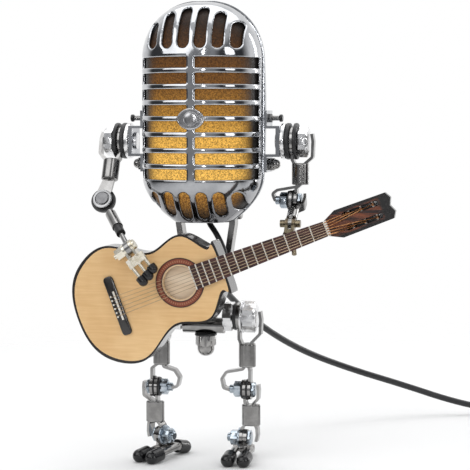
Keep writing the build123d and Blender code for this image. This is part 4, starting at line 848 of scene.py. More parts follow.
def relief(path, wide, narrow, ribs=5):
    """A moulded strain relief along a line: a taper whose radius also falls in narrow grooves."""
    share = np.linspace(0, 1, len(path))
    groove = np.clip(np.cos(share * 2 * math.pi * ribs) * 3 - 2, 0, 1)
    radius = wide + (narrow - wide) * share - 0.42 * groove * (share > 0.08) * (share < 0.92)
    radius[-1] -= 0.3
    return tube(path, radius, 24)


class LAMP_OT_cords(bpy.types.Operator):
    """The lead to the switch, and the lead from there through its stored coil to the plug"""

    bl_idname = "lamp.cords"
    bl_label = "Cords"

    def execute(self, context):
        cord = context.scene.lamp_cord
        lead = cord_curve("flex_lead", ROUTE_TO_SWITCH, cord.diameter)
        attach(lead, "torso")
        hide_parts("cord_lead")
        case = self.switch_pieces(lead)
        route = ROUTE_TO_COIL + coil_route(cord.turns, cord.diameter) + ROUTE_TO_PLUG
        tail = cord_curve("flex_tail", route, cord.diameter)
        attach(tail, "torso")
        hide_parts("cord_middle", "cord_coil")
        self.plug_pieces()
        self.exit_pieces(lead)
        return {"FINISHED"}

    def exit_pieces(self, lead):
        """The strain relief where the lead leaves the robot's back, tapered along the lead."""
        line = centreline(lead)
        path = np.concatenate(([(1.0, 7.4, 79.0), (1.0, 10.2, 79.0)], stretch(line, 0.0, 13.0)))
        sleeve = relief(path, 3.0, 1.85, 5)
        flange = aimed(turned(ring_rows(5.5, 7.6, 3.9, 1.0, 0.4), 32), (1.0, 0.0, 79.0), (0, 1, 0))
        make_piece("lead_relief", joined((sleeve, flange)), "rubber", "torso", ("cord_gland",))
        softened("neck_lead", 0.1)

    def switch_pieces(self, lead):
        """The switch's case with its seam and two reliefs, and its rocker."""
        case = softened("switch_case", 0.6)
        rocker = softened("switch_rocker", 0.35)
        x, y, z = ROUTE_TO_SWITCH[-1]
        sleeves = []
        for start, way in ((y, 1), (y - 46.0, -1)):
            steps = np.linspace(-1.0, 9.0, 30)[:, None]
            sleeves.append(relief(np.array((x, start, z)) + steps * (0, way, 0), 2.5, 1.85, 3))
        reliefs = make_piece("switch_reliefs", joined(sleeves), "rubber", "torso")
        return [case, rocker, reliefs]

    def plug_pieces(self):
        """The plug's moulded grip, a tapered nose towards the lead, and its metal shell."""
        body = plate(rounded_outline(15.0, 17.6, 2.6, 6), 0.1, 7.9, 1.2)
        body = moved(body, (PLUG_X, 55.2, 0.0))
        nose_line = np.array((PLUG_X, 0.0, PLUG_Z)) + np.linspace(41.5, 47.0, 12)[:, None] * (0, 1, 0)
        nose = tube(nose_line, np.linspace(1.9, 3.6, 12), 24)
        ridge = plate(rounded_outline(10.0, 1.1, 0.5, 4), 7.6, 8.0, 0.2)
        ridges = [moved(ridge, (PLUG_X, 50.0 + 2.6 * step, 0.0)) for step in range(4)]
        grip = make_piece("plug_grip", joined([body, nose, *ridges]), "black_plastic", "torso", ("usb_plug",))
        outer = rounded_outline(12.0, 4.5, 0.5, 3)
        inner = rounded_outline(11.2, 3.7, 0.4, 3)
        rows = [(outer, 63.9), (outer, 76.8), (outer * 0.99, 77.0)]
        rows += [(inner, 77.0), (inner, 66.0), (inner * 0.0, 66.0)]
        rings = [
            np.column_stack((ring[:, 0] + PLUG_X, np.full(len(ring), y), ring[:, 1] + PLUG_Z))
            for ring, y in rows
        ]
        faces = grid_faces(len(rings), len(outer))
        shell = make_piece("plug_shell", (np.stack(rings), faces), "steel", "torso")
        tongue = moved(plate(rounded_outline(10.8, 9.6, 0.3, 3), 2.35, 4.15, 0.2), (PLUG_X, 71.0, 0.0))
        tongue = make_piece("plug_tongue", tongue, "black_plastic", "torso")
        return [grip, shell, tongue]


# ---------------------------------------------------------------- head
HEAD = dict(
    width=27.6, depth=29.5, squareness=2.3, top=210.3, sides_top=183.5, sides_bottom=133.0, bottom=110.6
)
MOUTH_SHARE = 0.47
SEAM_HALF = 0.5
HEAD_TURN = 1.5  # degrees that the grille is turned on its base
MIDDLE_BAR = 2.0  # half width
RIM_RADIUS = 0.75  # rounding of the slots' rims
BESIDE_RIM = (-0.22, 0.03, 0.14, 0.32, 0.58)  # distances of the shell's rows from a slot's edge
BESIDE_END = (-0.22, 0.03, 0.2, 0.45)  # distances of its columns from a slot's end
ROWS = dict(count=8, pitch=7.08, slot=4.65, bottom=130.4)
SIDE_GAPS = {-1: 6.2, 1: 11.0}  # wall between the seam and the rows, in front and behind
FLUTES = dict(count=6, pitch=7.7, half=2.4, crown_low=188.6, crown_high=207.5, crown_drop=0.0185)
CHIN_FLUTES = dict(high=124.6, low=111.8, rise=0.012)
SLOT_WALL = 1.45


def head_meridian(t):
    """Height and share of the full plan at t: 0 to 1 up the chin, 1 to 2 up the sides, 2 to 3 over the crown.

    The chin's share falls as a power of the drop, the crown's as a power of the cosine of its angle."""
    drop = np.clip(1 - t, 0, 1)
    rise = np.clip(t - 2, 0, 1) * math.pi / 2
    z = HEAD["sides_bottom"] - (HEAD["sides_bottom"] - HEAD["bottom"]) * drop
    z = z + (HEAD["sides_top"] - HEAD["sides_bottom"]) * np.clip(t - 1, 0, 1)
    z = z + (HEAD["top"] - HEAD["sides_top"]) * np.sin(rise)
    share = MOUTH_SHARE + (1 - MOUTH_SHARE) * (1 - drop**2.1)
    return z, share * np.clip(np.cos(rise), 0, 1) ** 0.86


def head_turned(points):
    """Points turned about the head's axis: x cos - y sin, x sin + y cos."""
    points = np.asarray(points, float).reshape(-1, 3)
    a = math.radians(HEAD_TURN)
    x = points[:, 0] * math.cos(a) - points[:, 1] * math.sin(a)
    y = points[:, 0] * math.sin(a) + points[:, 1] * math.cos(a)
    return np.stack((x, y, points[:, 2]), -1)


def signed_power(value, power):
    """A number's size to a power, with the number's own sign."""
    return np.sign(value) * np.abs(value) ** power


def head_surface(angle, t, inset=0.0):
    """Points of the head: a superellipse plan in angle, scaled by the share at t and shrunk by an inset."""
    z, share = head_meridian(t)
    power = 2 / HEAD["squareness"]
    lift = np.clip(t - 2, 0, 1) * inset
    x = (HEAD["width"] * share - inset) * signed_power(np.cos(angle), power)
    y = (HEAD["depth"] * share - inset) * signed_power(np.sin(angle), power)
    return np.stack((x, y, z - lift), -1)


def slot_distance(place, reach, reach_bar, reach_seam):
    """Distance to the nearest slot, negative inside: rounded boxes on the sides, capsules above and below.

    reach is the arc length round the head from the middle of its face."""
    x, z = place[..., 0], place[..., 2]
    result = np.full(x.shape, 50.0)
    for row in range(ROWS["count"]):
        middle = ROWS["bottom"] + ROWS["slot"] / 2 + row * ROWS["pitch"]
        corner = 0.45
        across = np.maximum(reach_bar - reach, reach - reach_seam) + corner
        along = np.abs(z - middle) - ROWS["slot"] / 2 + corner
        outside = np.hypot(np.maximum(across, 0), np.maximum(along, 0))
        result = np.minimum(result, outside + np.minimum(np.maximum(across, along), 0) - corner)
    for flute in range(FLUTES["count"]):
        middle = (flute - (FLUTES["count"] - 1) / 2) * FLUTES["pitch"]
        crown = (FLUTES["crown_low"], FLUTES["crown_high"] - FLUTES["crown_drop"] * middle**2)
        chin = (CHIN_FLUTES["low"] + CHIN_FLUTES["rise"] * middle**2, CHIN_FLUTES["high"])
        for low, high in (crown, chin):
            run = (high - low) / 2 - FLUTES["half"]
            up = np.maximum(np.abs(z - (low + high) / 2) - run, 0)
            result = np.minimum(result, np.hypot(x - middle, up) - FLUTES["half"])
    return result


def yoke_distance(place):
    """Distance to the room that the neck's yoke needs, a box in the sides of the head's mouth."""
    x, y, z = np.abs(place[..., 0]), np.abs(place[..., 1]), place[..., 2]
    beyond = np.stack((8.0 - x, 1.0 - y, y - 11.0, z - 119.8))
    return beyond.max(0)


def spread(start, end, step):
    """Evenly spaced numbers with about the given step."""
    return np.linspace(start, end, max(2, int(round(abs(end - start) / step)) + 1))


def head_lines():
    """The meridian values of the shell's rows: even on chin and crown, close together beside a slot's edge."""
    lows = [ROWS["bottom"] + row * ROWS["pitch"] for row in range(ROWS["count"])]
    edges = [(low + share * ROWS["slot"], way) for low in lows for share, way in ((0, -1), (1, 1))]
    heights = list(spread(ROWS["bottom"] - 3, ROWS["bottom"] + ROWS["count"] * ROWS["pitch"] + 1, 0.9))
    heights = [h for h in heights if min(abs(h - e) for e, _ in edges) > 0.8]
    for edge, way in edges:
        heights += [edge + way * away for away in BESIDE_RIM]
    table = np.linspace(0, 3, 3001)
    z = head_meridian(table)[0]
    rows = np.interp(np.sort(heights), z, table)
    low, high = rows[0], rows[-1]
    chin = np.interp(spread(HEAD["bottom"], np.interp(low, table, z), 0.4), z, table)[:-1]
    crown = 3 - np.linspace(3 - high, 0, 92)[1:]
    return np.concatenate((chin, rows, crown))


def make_grille(name, facing):
    """One grille half: the head's surface without its slots, whose rounded rims go on inwards as walls."""
    table = np.linspace(0, math.pi, 4001)
    ring = head_surface(-table, np.full_like(table, 1.5))
    length = np.concatenate(([0], np.cumsum(np.linalg.norm(np.diff(ring, axis=0), axis=1))))
    half = length[-1] / 2
    start = np.interp(SEAM_HALF, np.abs(ring[:2000, 1]), length[:2000])
    gap = half - np.interp(SIDE_GAPS[facing], np.abs(ring[:2000, 1]), length[:2000])
    bar = half - np.interp(-MIDDLE_BAR, -ring[:2000, 0], length[:2000])
    columns = list(spread(start, half * 2 - start, 0.5))
    marks = [half + way * mark for mark in (gap, bar) for way in (-1, 1)]
    columns = [c for c in columns if min(abs(c - m) for m in marks) > 0.5]
    for way in (-1, 1):
        columns += [half + way * (gap + away) for away in BESIDE_END]
        columns += [half + way * (bar - away) for away in BESIDE_END]
    columns = np.sort(columns)
    rows = head_lines()
    t, arc = np.meshgrid(rows, columns, indexing="ij")

    def at(t, arc):
        """Points of the half at a meridian value and a length round it."""
        angle = -np.interp(arc, length, table)
        place = head_surface(angle, t)
        place[..., 1] = np.minimum(place[..., 1], -SEAM_HALF)
        return place

    def off(t, arc):
        """Distance from the nearest opening."""
        place = at(t, arc)
        distance = slot_distance(place, np.abs(arc - half), bar, gap)
        if facing > 0:
            distance = np.minimum(distance, yoke_distance(place))
        return distance

    def slopes(t, arc):
        """The surface's two tangents and the slot distance with its steepest way, in t and arc."""
        (along, slope_t), (across, slope_a) = (
            [(shape(t + dt, arc + da) - shape(t - dt, arc - da)) / (2 * (dt + da)) for shape in (at, off)]
            for dt, da in ((1e-4, 0), (0, 0.01))
        )
        distance = off(t, arc)
        e = (along**2).sum(-1) + 1e-9
        g = (across**2).sum(-1) + 1e-9
        f = (along * across).sum(-1)
        area = np.maximum(e * g - f * f, 1e-9)
        pull_t = (g * slope_t - f * slope_a) / area
        pull_a = (e * slope_a - f * slope_t) / area
        steep = np.maximum(pull_t * slope_t + pull_a * slope_a, 0.02)
        return along, across, distance, pull_t, pull_a, steep

    along, across, distance, pull_t, pull_a, steep = slopes(t, arc)
    true = distance / np.sqrt(steep)
    inside = distance < 0
    near = inside.copy()
    around = np.lib.stride_tricks.sliding_window_view(inside, (3, 3))
    near[1:-1, 1:-1] &= ~around.all((2, 3))
    for _ in range(3):
        t = np.where(near, t - pull_t * distance / steep, t)
        arc = np.where(near, arc - pull_a * distance / steep, arc)
        along, across, distance, pull_t, pull_a, steep = slopes(t, arc)
    place = at(np.clip(t, 0, 3), arc)
    normal = np.cross(along, across)
    normal /= np.maximum(np.linalg.norm(normal, axis=-1, keepdims=True), 1e-9)
    short = np.clip(RIM_RADIUS - true, 0, RIM_RADIUS)
    depth = RIM_RADIUS - np.sqrt(np.maximum(RIM_RADIUS**2 - short**2, 0))
    depth = np.where(near, SLOT_WALL, depth)
    depth = np.where(t > 2.95, 0, depth)
    place = place - normal * depth[..., None]
    faces = np.array(grid_faces(*t.shape, closed=False))
    gone = inside.reshape(-1)[faces].all(1)
    faces = faces[~gone]
    used = np.unique(faces)
    index = np.full(t.size, -1)
    index[used] = np.arange(len(used))
    points = place.reshape(-1, 3)[used]
    faces = index[faces]
    if facing > 0:
        points = points * (1, -1, 1)
    else:
        faces = faces[:, ::-1]
    shell = mesh_piece(name, head_turned(points), faces.tolist())
    # The rim attribute, each point's inward depth as a share of the slot wall, is the mask of the grille
    # chrome's painted shade in the slots.
    rim = shell.data.attributes.new("rim", "FLOAT", "POINT")
    rim.data.foreach_set("value", depth.reshape(-1)[used] / SLOT_WALL)
    return shell


def front_of_head(x):
    """How far the head's face stands in front of its axis at an x: the plan's superellipse."""
    power = HEAD["squareness"]
    return HEAD["depth"] * (1 - np.minimum(np.abs(x) / HEAD["width"], 1) ** power) ** (1 / power)


BADGE = dict(half_width=6.5, half_height=4.75, z=157.3, disc=3.35)


def badge_shape(half_width, half_height, z, disc):
    """A plain badge: two arcs that meet left and right, a raised rim, and a domed disc in the middle."""
    radius = (half_width**2 + half_height**2) / (2 * half_height)
    u = np.sin(np.linspace(-math.pi / 2, math.pi / 2, 41))
    x = u * half_width
    arc = np.sqrt(radius**2 - x**2) - (radius - half_height)
    outline = np.concatenate((np.stack((x, -arc), -1), np.stack((x[-2:0:-1], arc[-2:0:-1]), -1)))
    rows = ((1.0, -0.4), (1.0, 0.35), (0.985, 0.5), (0.955, 0.58), (0.915, 0.58), (0.885, 0.5), (0.87, 0.25))
    rows += ((0.5, 0.22), (0.0, 0.22))
    x, up = outline.T
    points = [
        np.column_stack((x * share, -front_of_head(x * share) - lift, z + up * share)) for share, lift in rows
    ]
    base = np.stack(points), grid_faces(len(rows), len(outline))
    dome = turned(
        [(0.1, 0), (0.1, disc), (0.62, disc), (0.78, disc - 0.14), (0.8, disc - 0.34), (0.66, disc - 0.5),
         (0.66, disc - 0.62), (0.78, disc - 1.0), (0.9, disc * 0.4), (0.93, 0)], 48
    )
    return joined([base, aimed(dome, (0, -HEAD["depth"], z), (0, -1, 0), (1, 0, 0))])


def cloth_shape():
    """The cloth behind the grille: the head's surface shrunk by an inset that is smaller at the chin.

    It starts at the mouth in front and at the base plate behind, and ends at the crown."""
    table = np.linspace(0, 1, 400)
    angle = np.arange(180) / 180 * 2 * math.pi
    start = np.interp(np.where(np.sin(angle) < -0.06, 111.4, 119.9), head_meridian(table)[0], table)
    rows = np.concatenate((np.linspace(0, 1, 30)[:-1], np.linspace(1, 2, 60)[:-1], np.linspace(2, 3, 60)))
    t, angle = np.meshgrid(rows, angle, indexing="ij")
    t = np.where(t < 1, start + (1 - start) * t, t)
    height = head_meridian(t)[0]
    inset = 1.9 - 0.6 * np.exp(-(((height - 118.5) / 2.2) ** 4))
    return head_turned(head_surface(angle, t, inset)), grid_faces(t.shape[0], 180)


class LAMP_OT_head(bpy.types.Operator):
    """The microphone head: two slotted shells, the cloth behind them and a plain badge"""

    bl_idname = "lamp.head"
    bl_label = "Head"

    def execute(self, context):
        head = context.scene.lamp_head
        for name, facing in (("front", -1), ("rear", 1)):
            shell = make_grille(f"grille_{name}_shell", facing)
            wall = shell.modifiers.new("wall", "SOLIDIFY")
            wall.thickness = head.skin
            wall.offset = -1
            settle(shell, "grille_chrome", "head", (f"head_grille_{name}",))
        make_piece("glitter_cloth", cloth_shape(), "grille_cloth", "head", ("grille_cloth",))
        points, faces = badge_shape(**BADGE)
        make_piece("plain_badge", (head_turned(points), faces), "badge", "head", ("badge",))
        softened("head_seam_band", head.edge / MM)
        softened("head_base", 0.25, "steel")
        return {"FINISHED"}


# ---------------------------------------------------------------- nuts, bolts and washers
SHOULDER = (5.0, 147.2)  # y and z of the shoulder bolts
SCREW_RISE = 10.5  # the bracket's screws above and below the shoulder bolt
M8_FLATS = 12.6
PIN_FLATS = 6.4
PIN_RUBBERS = ((-2.98, -2.07, 4.4), (-0.63, 0.29, 4.9))  # from, to, radius
ELBOW_RIGHT = (41.2, 5.0, 120.3)
HIP_Z = 67.0
CAP_NUT = (0.8, 0, 58.6)
NECK_SCREW = (6.0, 114.0)
KNEES = {"left": 23.6, "right": 20.8}
KNEE_Z = 33.4
ANKLES = {"left": (21.6, -24.0), "right": (20.3, 0.0)}  # x, and the foot's turn outward
ANKLE_Z = 11.0


def along_x(rows, side, y, z, shift=0.0, **options):
    """A turned shape whose heights are distances from the robot's middle to one side."""
    return aimed(turned(rows, **options), (shift, y, z), (side, 0, 0))


def turned_about(pair, centre, axis, degrees):
    """A shape turned about an axis through a centre: Rodrigues' formula on every point."""
    points, faces = pair
    points = np.asarray(points).reshape(-1, 3) - centre
    axis = np.array(axis, float) / np.linalg.norm(axis)
    a = math.radians(degrees)
    across = np.cross(axis, points)
    points = points * math.cos(a) + across * math.sin(a) + axis * (points @ axis)[:, None] * (1 - math.cos(a))
    return points + centre, faces


def shoulder_hardware(side):
    """A shoulder's bolt, rubbers and bracket screws, and the knob on its stud."""
    y, z = SHOULDER
    bolt = [
        along_x(hex_rows(43.0, 48.0, M8_FLATS, 0.3), side, y, z, around=72, flats=M8_FLATS, phase=90),
        along_x(disc_rows(32.6, 43.1, 3.95, 0.3), side, y, z),
        along_x(ring_rows(35.4, 37.4, 8.2, 3.9, 0.35), side, y, z, around=64),
    ]
    rubbers = [
        along_x(ring_rows(low, high, 8.3, 4.0, 0.6), side, y, z, around=64)
        for low, high in ((37.42, 39.62), (41.08, 42.98))
    ]
    stud = [
        along_x(thread_rows(29.5, 34.3, 1.2, 0.6), side, y, z + SCREW_RISE, around=24, thread=(0.6, 0.16)),
        along_x(hex_rows(29.6, 31.0, 3.9), side, y, z + SCREW_RISE, around=48, flats=3.9),
    ]
    knob = along_x(disc_rows(34.2, 35.8, 1.7, 0.45), side, y, z + SCREW_RISE, around=32)
    dome = [(32.0, 0), (32.0, 2.32), (33.1, 2.2), (33.9, 1.8), (34.4, 1.2), (34.65, 0.5), (34.7, 0)]
    acorn = [
        along_x(hex_rows(29.6, 32.2, 5.5), side, y, z - SCREW_RISE, around=48, flats=5.5),
        along_x(dome, side, y, z - SCREW_RISE, around=32),
    ]
    return joined(bolt), joined(rubbers), joined([*stud, *acorn]), knob


def hip_hardware(side):
    """A hip's bolt with its nut and washer, and its rubber."""
    bolt = [
        along_x(hex_rows(9.6, 14.4, M8_FLATS), side, 0, HIP_Z, around=72, flats=M8_FLATS),
        along_x(disc_rows(9.8, 18.5, 3.95, 0.2), side, 0, HIP_Z),
        along_x(ring_rows(17.56, 18.5, 7.6, 3.9, 0.25), side, 0, HIP_Z, around=64),
        along_x(hex_rows(18.5, 24.9, M8_FLATS, 0.35), side, 0, HIP_Z, around=72, flats=M8_FLATS, phase=90),
    ]
    rubber = along_x(ring_rows(14.42, 15.98, 6.3, 4.0, 0.4), side, 0, HIP_Z, around=56)
    return joined(bolt), rubber


def pin_hardware(side, x, y, z, thread, ankle=False):
    """A small bolt, its nut and its rubbers, as (metal, rubber)."""

    def part(rows, around, **options):
        return along_x(rows, side, y, z, side * x, around=around, **options)

    far, near, end, head, head_end = (7.6, 3.9, 9.2, 0.35, 2.2) if ankle else (6.6, 3.0, 8.8, 1.6, 3.5)
    rod = [(-end, 0), (-end, 1.5), (-end + 0.35, 1.95), (head + 0.1, 1.95), (head + 0.1, 0)]
    metal = [
        part(hex_rows(head, head_end, PIN_FLATS, 0.15), 60, flats=PIN_FLATS),
        part(hex_rows(-far, -near, PIN_FLATS), 60, flats=PIN_FLATS, phase=0 if ankle else 90),
        part(rod, 32),
        part([(h, 2.0) for h in np.linspace(-far - 0.1, -end + 0.3, 24)[::-1]], 32, thread=thread),
    ]
    if ankle:
        return joined(metal + [part(ring_rows(-3.9, -3.0, 4.6, 2.0, 0.2), 48)]), None
    rubber = [part(ring_rows(low, high, wide, 2.0, 0.3), 44) for low, high, wide in PIN_RUBBERS]
    return joined(metal), joined(rubber)


class LAMP_OT_hardware(bpy.types.Operator):
    """Bolts, nuts, washers and rubbers with flats, chamfers and threads"""

    bl_idname = "lamp.hardware"
    bl_label = "Hardware"

    def execute(self, context):
        settings = context.scene.lamp_hardware
        thread = (settings.pitch / MM, settings.depth / MM)
        sets = zip(*(shoulder_hardware(side) for side in SIDES.values()))
        bolts, rubbers, screws, knobs = (joined(pairs) for pairs in sets)
        make_piece("shoulder_bolt_set", bolts, "bolt", "head", ("shoulder_bolts",))
        make_piece("shoulder_rubber_set", rubbers, "rubber", "head", ("shoulder_rubbers",))
        make_piece("bracket_screw_set", screws, "steel", "head", ("bracket_screws",))
        make_piece("bracket_knobs", knobs, "gloss_rubber", "head")
        bolts, rubbers = zip(*(hip_hardware(side) for side in SIDES.values()))
        saddle = aimed(turned(ring_rows(57.9, 58.95, 5.1, 1.0, 0.35), 56), (CAP_NUT[0], 0, 0), (0, 0, 1))
        make_piece("hip_bolt_set", joined(bolts), "bolt", "torso", ("hip_bolts",))
        make_piece("hip_rubber_set", joined([*rubbers, saddle]), "rubber", "torso", ("hip_rubbers",))
        self.cap_nut()
        self.neck_screws()
        for name, side in SIDES.items():
            metal, rubber = pin_hardware(side, KNEES[name], 0, KNEE_Z, thread)
            body = f"thigh_{name}"
            make_piece(f"knee_bolt_{name}", metal, "zinc", body, (f"knee_pin_{name}",))
            make_piece(f"knee_rubber_{name}", rubber, "rubber", body, (f"knee_rubbers_{name}",))
            x, turn = ANKLES[name]
            metal, _ = pin_hardware(side, x, 0, ANKLE_Z, thread, ankle=True)
            metal = turned_about(metal, (side * x, 0, ANKLE_Z), (0, 0, 1), turn)
            make_piece(f"ankle_bolt_{name}", metal, "zinc", f"shin_{name}", (f"ankle_pin_{name}",))
        metal, rubber = pin_hardware(1, *ELBOW_RIGHT, thread)
        make_piece("elbow_bolt_right", metal, "zinc", "upper_arm_right", ("elbow_pin_right",))
        make_piece("elbow_rubber_right", rubber, "gloss_rubber", "upper_arm_right", ("elbow_rubbers_right",))
        return {"FINISHED"}

    def cap_nut(self):
        """The domed nut under the pelvis."""
        corner = 4.7
        flats = corner * 2 * math.cos(math.pi / 6)
        skirt = turned([(0, 0), (0, 4.2), (0.35, corner), (4.9, corner), (5.4, 4.1), (5.4, 0)], 72, flats, 20)
        dome = [(5.2, 0), (5.2, 3.9), (6.8, 3.9)]
        dome += [(6.8 + 3.4 * math.sin(a), 0.1 + 3.8 * math.cos(a)) for a in np.linspace(0.15, 1.45, 9)]
        dome += [(10.2, 0)]
        nut = joined([skirt, turned(dome, 48)])
        make_piece("pelvis_acorn_nut", aimed(nut, CAP_NUT, (0, 0, -1)), "steel", "torso", ("pelvis_cap_nut",))

    def neck_screws(self):
        """The two screws that the head tilts on."""
        parts = []
        for side in SIDES.values():
            parts.append(along_x(disc_rows(8.3, 14.1, 1.5, 0.2), side, *NECK_SCREW, around=24))
            parts.append(along_x(hex_rows(14.05, 16.6, 5.2, 0.2), side, *NECK_SCREW, around=48, flats=5.2))
        make_piece("neck_screw_set", joined(parts), "steel", "torso", ("neck_pivot_screws",))


# ---------------------------------------------------------------- limbs
LEFT_ARM_SWING = 25.0  # degrees that the left arm hangs forward
ELBOW_LEFT = (-46.0, 4.55, 117.7)
# middles of the sleeves' lower ends beside the robot's middle
ARM_BARREL = (43.9, 5.0, 127.5)
THIGH_BARREL = (20.3, 0, 43.9)
SHIN_BARREL_Z = 16.8
SHIN_ASIDE = 1.8  # how far a shin stands beside its ankle
CAP_RADIUS = 3.15
CAP_LENGTH = 9.4
TOES = ((-6.4, -13.4), (0.9, -13.4), (-3.0, 15.5))  # places across the foot and of the tip along it


def barrel_shape(length, wide, deep, slit):
    """A crimped sleeve about Z: an oval with rounded ends and a groove down one side as a bell curve."""
    h = np.linspace(0, 1, 61)
    angle = np.arange(72) / 72 * 2 * math.pi
    end = np.minimum(np.minimum(h, 1 - h) * length / 0.6, 1)
    away = (np.degrees(angle) - slit + 180) % 360 - 180
    radius = (0.90 + 0.10 * np.sqrt(1 - (1 - end) ** 2))[:, None] - 0.06 * np.exp(-((away / 5.0) ** 2))
    z = np.repeat((h * length)[:, None], 72, 1)
    points = np.stack((wide * radius * np.cos(angle), deep * radius * np.sin(angle), z), -1)
    low, high = (np.repeat(end.mean(1, keepdims=True), 72, 1) for end in (points[:1], points[-1:]))
    return np.concatenate((low, points, high)), grid_faces(63, 72)


def cap_shape(start, tip, length, radius):
    """A rubber cap on the end of a bar: a short flare, a straight sleeve and a round end."""
    way = np.array(tip, float) - np.array(start, float)
    reach = np.linalg.norm(way)
    low = reach - (length - radius)
    rows = [(low + 0.3, 0), (low, radius - 0.75), (low, radius - 0.25), (low + 0.22, radius)]
    rows += [(low + 0.9, radius + 0.03), (low + 1.3, radius), (reach - 0.2, radius)]
    rows += [(reach + radius * math.sin(a), radius * math.cos(a)) for a in np.linspace(0.06, math.pi / 2, 14)]
    return aimed(turned(rows, 48), start, way)


def arm_swung(pair):
    """A shape of the left arm, turned forward about the shoulder."""
    return turned_about(pair, (0, *SHOULDER), (1, 0, 0), -LEFT_ARM_SWING)


class LAMP_OT_limbs(bpy.types.Operator):
    """Lugs, straps and crimped sleeves with rounded edges, and the rubber caps"""

    bl_idname = "lamp.limbs"
    bl_label = "Limbs"

    def execute(self, context):
        edge = context.scene.lamp_limbs.edge / MM
        for name in SIDES:
            for limb in ("upper_arm", "forearm", "thigh", "shin"):
                softened(f"{limb}_{name}", edge, "satin")
            softened(f"foot_{name}", 0.3, "steel")
        softened("hand_left", edge, "pearl")
        softened("fingertips_left", 0.1, "gloss_rubber")
        softened("hand_right", 0.25, "bronze")
        softened("neck_yoke", 0.5, "steel")
        softened("torso_tube", 0.25, "satin")
        softened("shoulder_brackets", 0.3, "chrome")
        self.barrels()
        softened("elbow_pin_left", 0.15, "screw")
        self.elbow_dish()
        self.caps()
        return {"FINISHED"}

    def elbow_dish(self):
        """The turned washer and the screw's head in front of the left elbow."""
        rim = turned(ring_rows(0.0, 0.75, 4.5, 3.1, 0.3), 56)
        floor = turned(ring_rows(0.0, 0.38, 3.3, 1.7, 0.12), 56)
        head = [(0.0, 0), (0.0, 1.9), (0.85, 1.9), (1.05, 1.65), (1.05, 1.0), (0.75, 0.9), (0.75, 0)]
        for name, pair in (("dish", joined((rim, floor))), ("screw", turned(head, 40))):
            pair = arm_swung(aimed(pair, ELBOW_LEFT, (0, -1, 0)))
            make_piece(f"elbow_{name}_left", pair, name, "upper_arm_left")

    def barrels(self):
        """The crimped sleeves of the lugs at the arms, thighs and shins."""
        for name, side in SIDES.items():
            shin_x = ANKLES[name][0] + SHIN_ASIDE
            for limb, body, shape, (x, y, z) in (
                ("arm", "upper_arm", barrel_shape(9.8, 3.95, 3.3, -70), ARM_BARREL),
                ("thigh", "thigh", barrel_shape(10.8, 3.95, 3.3, -100), THIGH_BARREL),
                ("shin", "shin", barrel_shape(9.8, 4.3, 2.85, -60), (shin_x, 0, SHIN_BARREL_Z)),
            ):
                pair = aimed(shape, (side * x, y, z), (0, 0, 1), (1, 0, 0))
                if (limb, name) == ("arm", "left"):
                    pair = arm_swung(pair)
                make_piece(f"{limb}_barrel_{name}", pair, "barrel", f"{body}_{name}")

    def caps(self):
        """Two toe caps and a heel cap on each foot, flat where they stand."""
        for name, side in SIDES.items():
            x, turn = ANKLES[name]
            centre = np.array((side * x, 0, ANKLE_Z))
            caps = []
            for toe, y in TOES:
                start = centre + (side * toe, 5.6, 5.0 - ANKLE_Z)
                tip = centre + (side * toe, y, CAP_RADIUS - 0.3 - ANKLE_Z)
                cap = cap_shape(start, tip, CAP_LENGTH, CAP_RADIUS)
                caps.append(turned_about(cap, centre, (0, 0, 1), turn))
            points, faces = joined(caps)
            points[:, 2] = np.maximum(points[:, 2], 0.0)
            replaced = (f"foot_caps_{name}",)
            make_piece(f"toe_caps_{name}", (points, faces), "gloss_rubber", f"foot_{name}", replaced)


# ---------------------------------------------------------------- guitar
GUITAR_CENTRE = (-4.5, -28.0, 84.9)  # the sound hole's centre on the face
NUT_U = 70.0
BRIDGE_U = -30.6
POST_U = NUT_U + 11.4  # the first post
POST_PITCH = 5.6
SLOT_V = 2.9  # the head's slots from its middle
KNOB_V = 4.6
STRING_RADII = (0.15, 0.14, 0.13, 0.11, 0.10, 0.10)


def on_guitar(pair):
    """A shape in lengths along the guitar's neck, across it and out of its face, in its place on the lamp."""
    points, faces = pair
    u, v, n = np.asarray(points, float).reshape(-1, 3).T
    c, s = math.cos(GUITAR_TILT), math.sin(GUITAR_TILT)
    return np.stack((u * c - v * s, -n, u * s + v * c), -1) + GUITAR_CENTRE, faces


def bridge_shape():
    """A bridge with thin wings and a raised middle: a smooth step of the distance from its middle."""
    outline = rounded_outline(4.6, 27.5, 1.6, 7)
    points, faces = plate(outline, 0.0, 1.0, 0.35)
    points = points.reshape(-1, 3)
    share = np.clip((9.4 - np.abs(points[:, 1])) / 2.2, 0, 1)
    points[:, 2] *= 1.0 + 0.75 * share * share * (3 - 2 * share)
    return moved((points, faces), (BRIDGE_U, 0, 0))


def post_of(number):
    """A string's post: its side of the head and its place along the neck."""
    return (-1, POST_U + POST_PITCH * number) if number < 3 else (1, POST_U + POST_PITCH * (5 - number))


def string_path(number):
    """A string from its hole in the bridge over the saddle and the nut to its post in the head's slot."""
    offset = number - 2.5
    at_bridge, at_nut = offset * 1.75, offset * 1.05
    way, post = post_of(number)
    at_post = way * SLOT_V + offset * 0.12
    return np.array(
        [
            (BRIDGE_U - 1.5, at_bridge, 1.55),
            (BRIDGE_U + 0.7, at_bridge, 2.5),
            (NUT_U + 0.7, at_nut, 2.45),
            (NUT_U + 3.2, at_nut * 1.15, 1.4),
            (post - 0.5, at_post, -1.2),
            (post + 0.6, at_post, -2.0),
        ]
    )


def winding(number):
    """The coils of a string round its post: a helix about the post."""
    way, post = post_of(number)
    angle = np.linspace(0, 2 * math.pi * 3.5, 64)
    across = way * SLOT_V + (angle / angle[-1] - 0.5) * 1.3
    return np.stack((post + 0.72 * np.cos(angle), across, -2.0 + 0.72 * np.sin(angle)), -1)


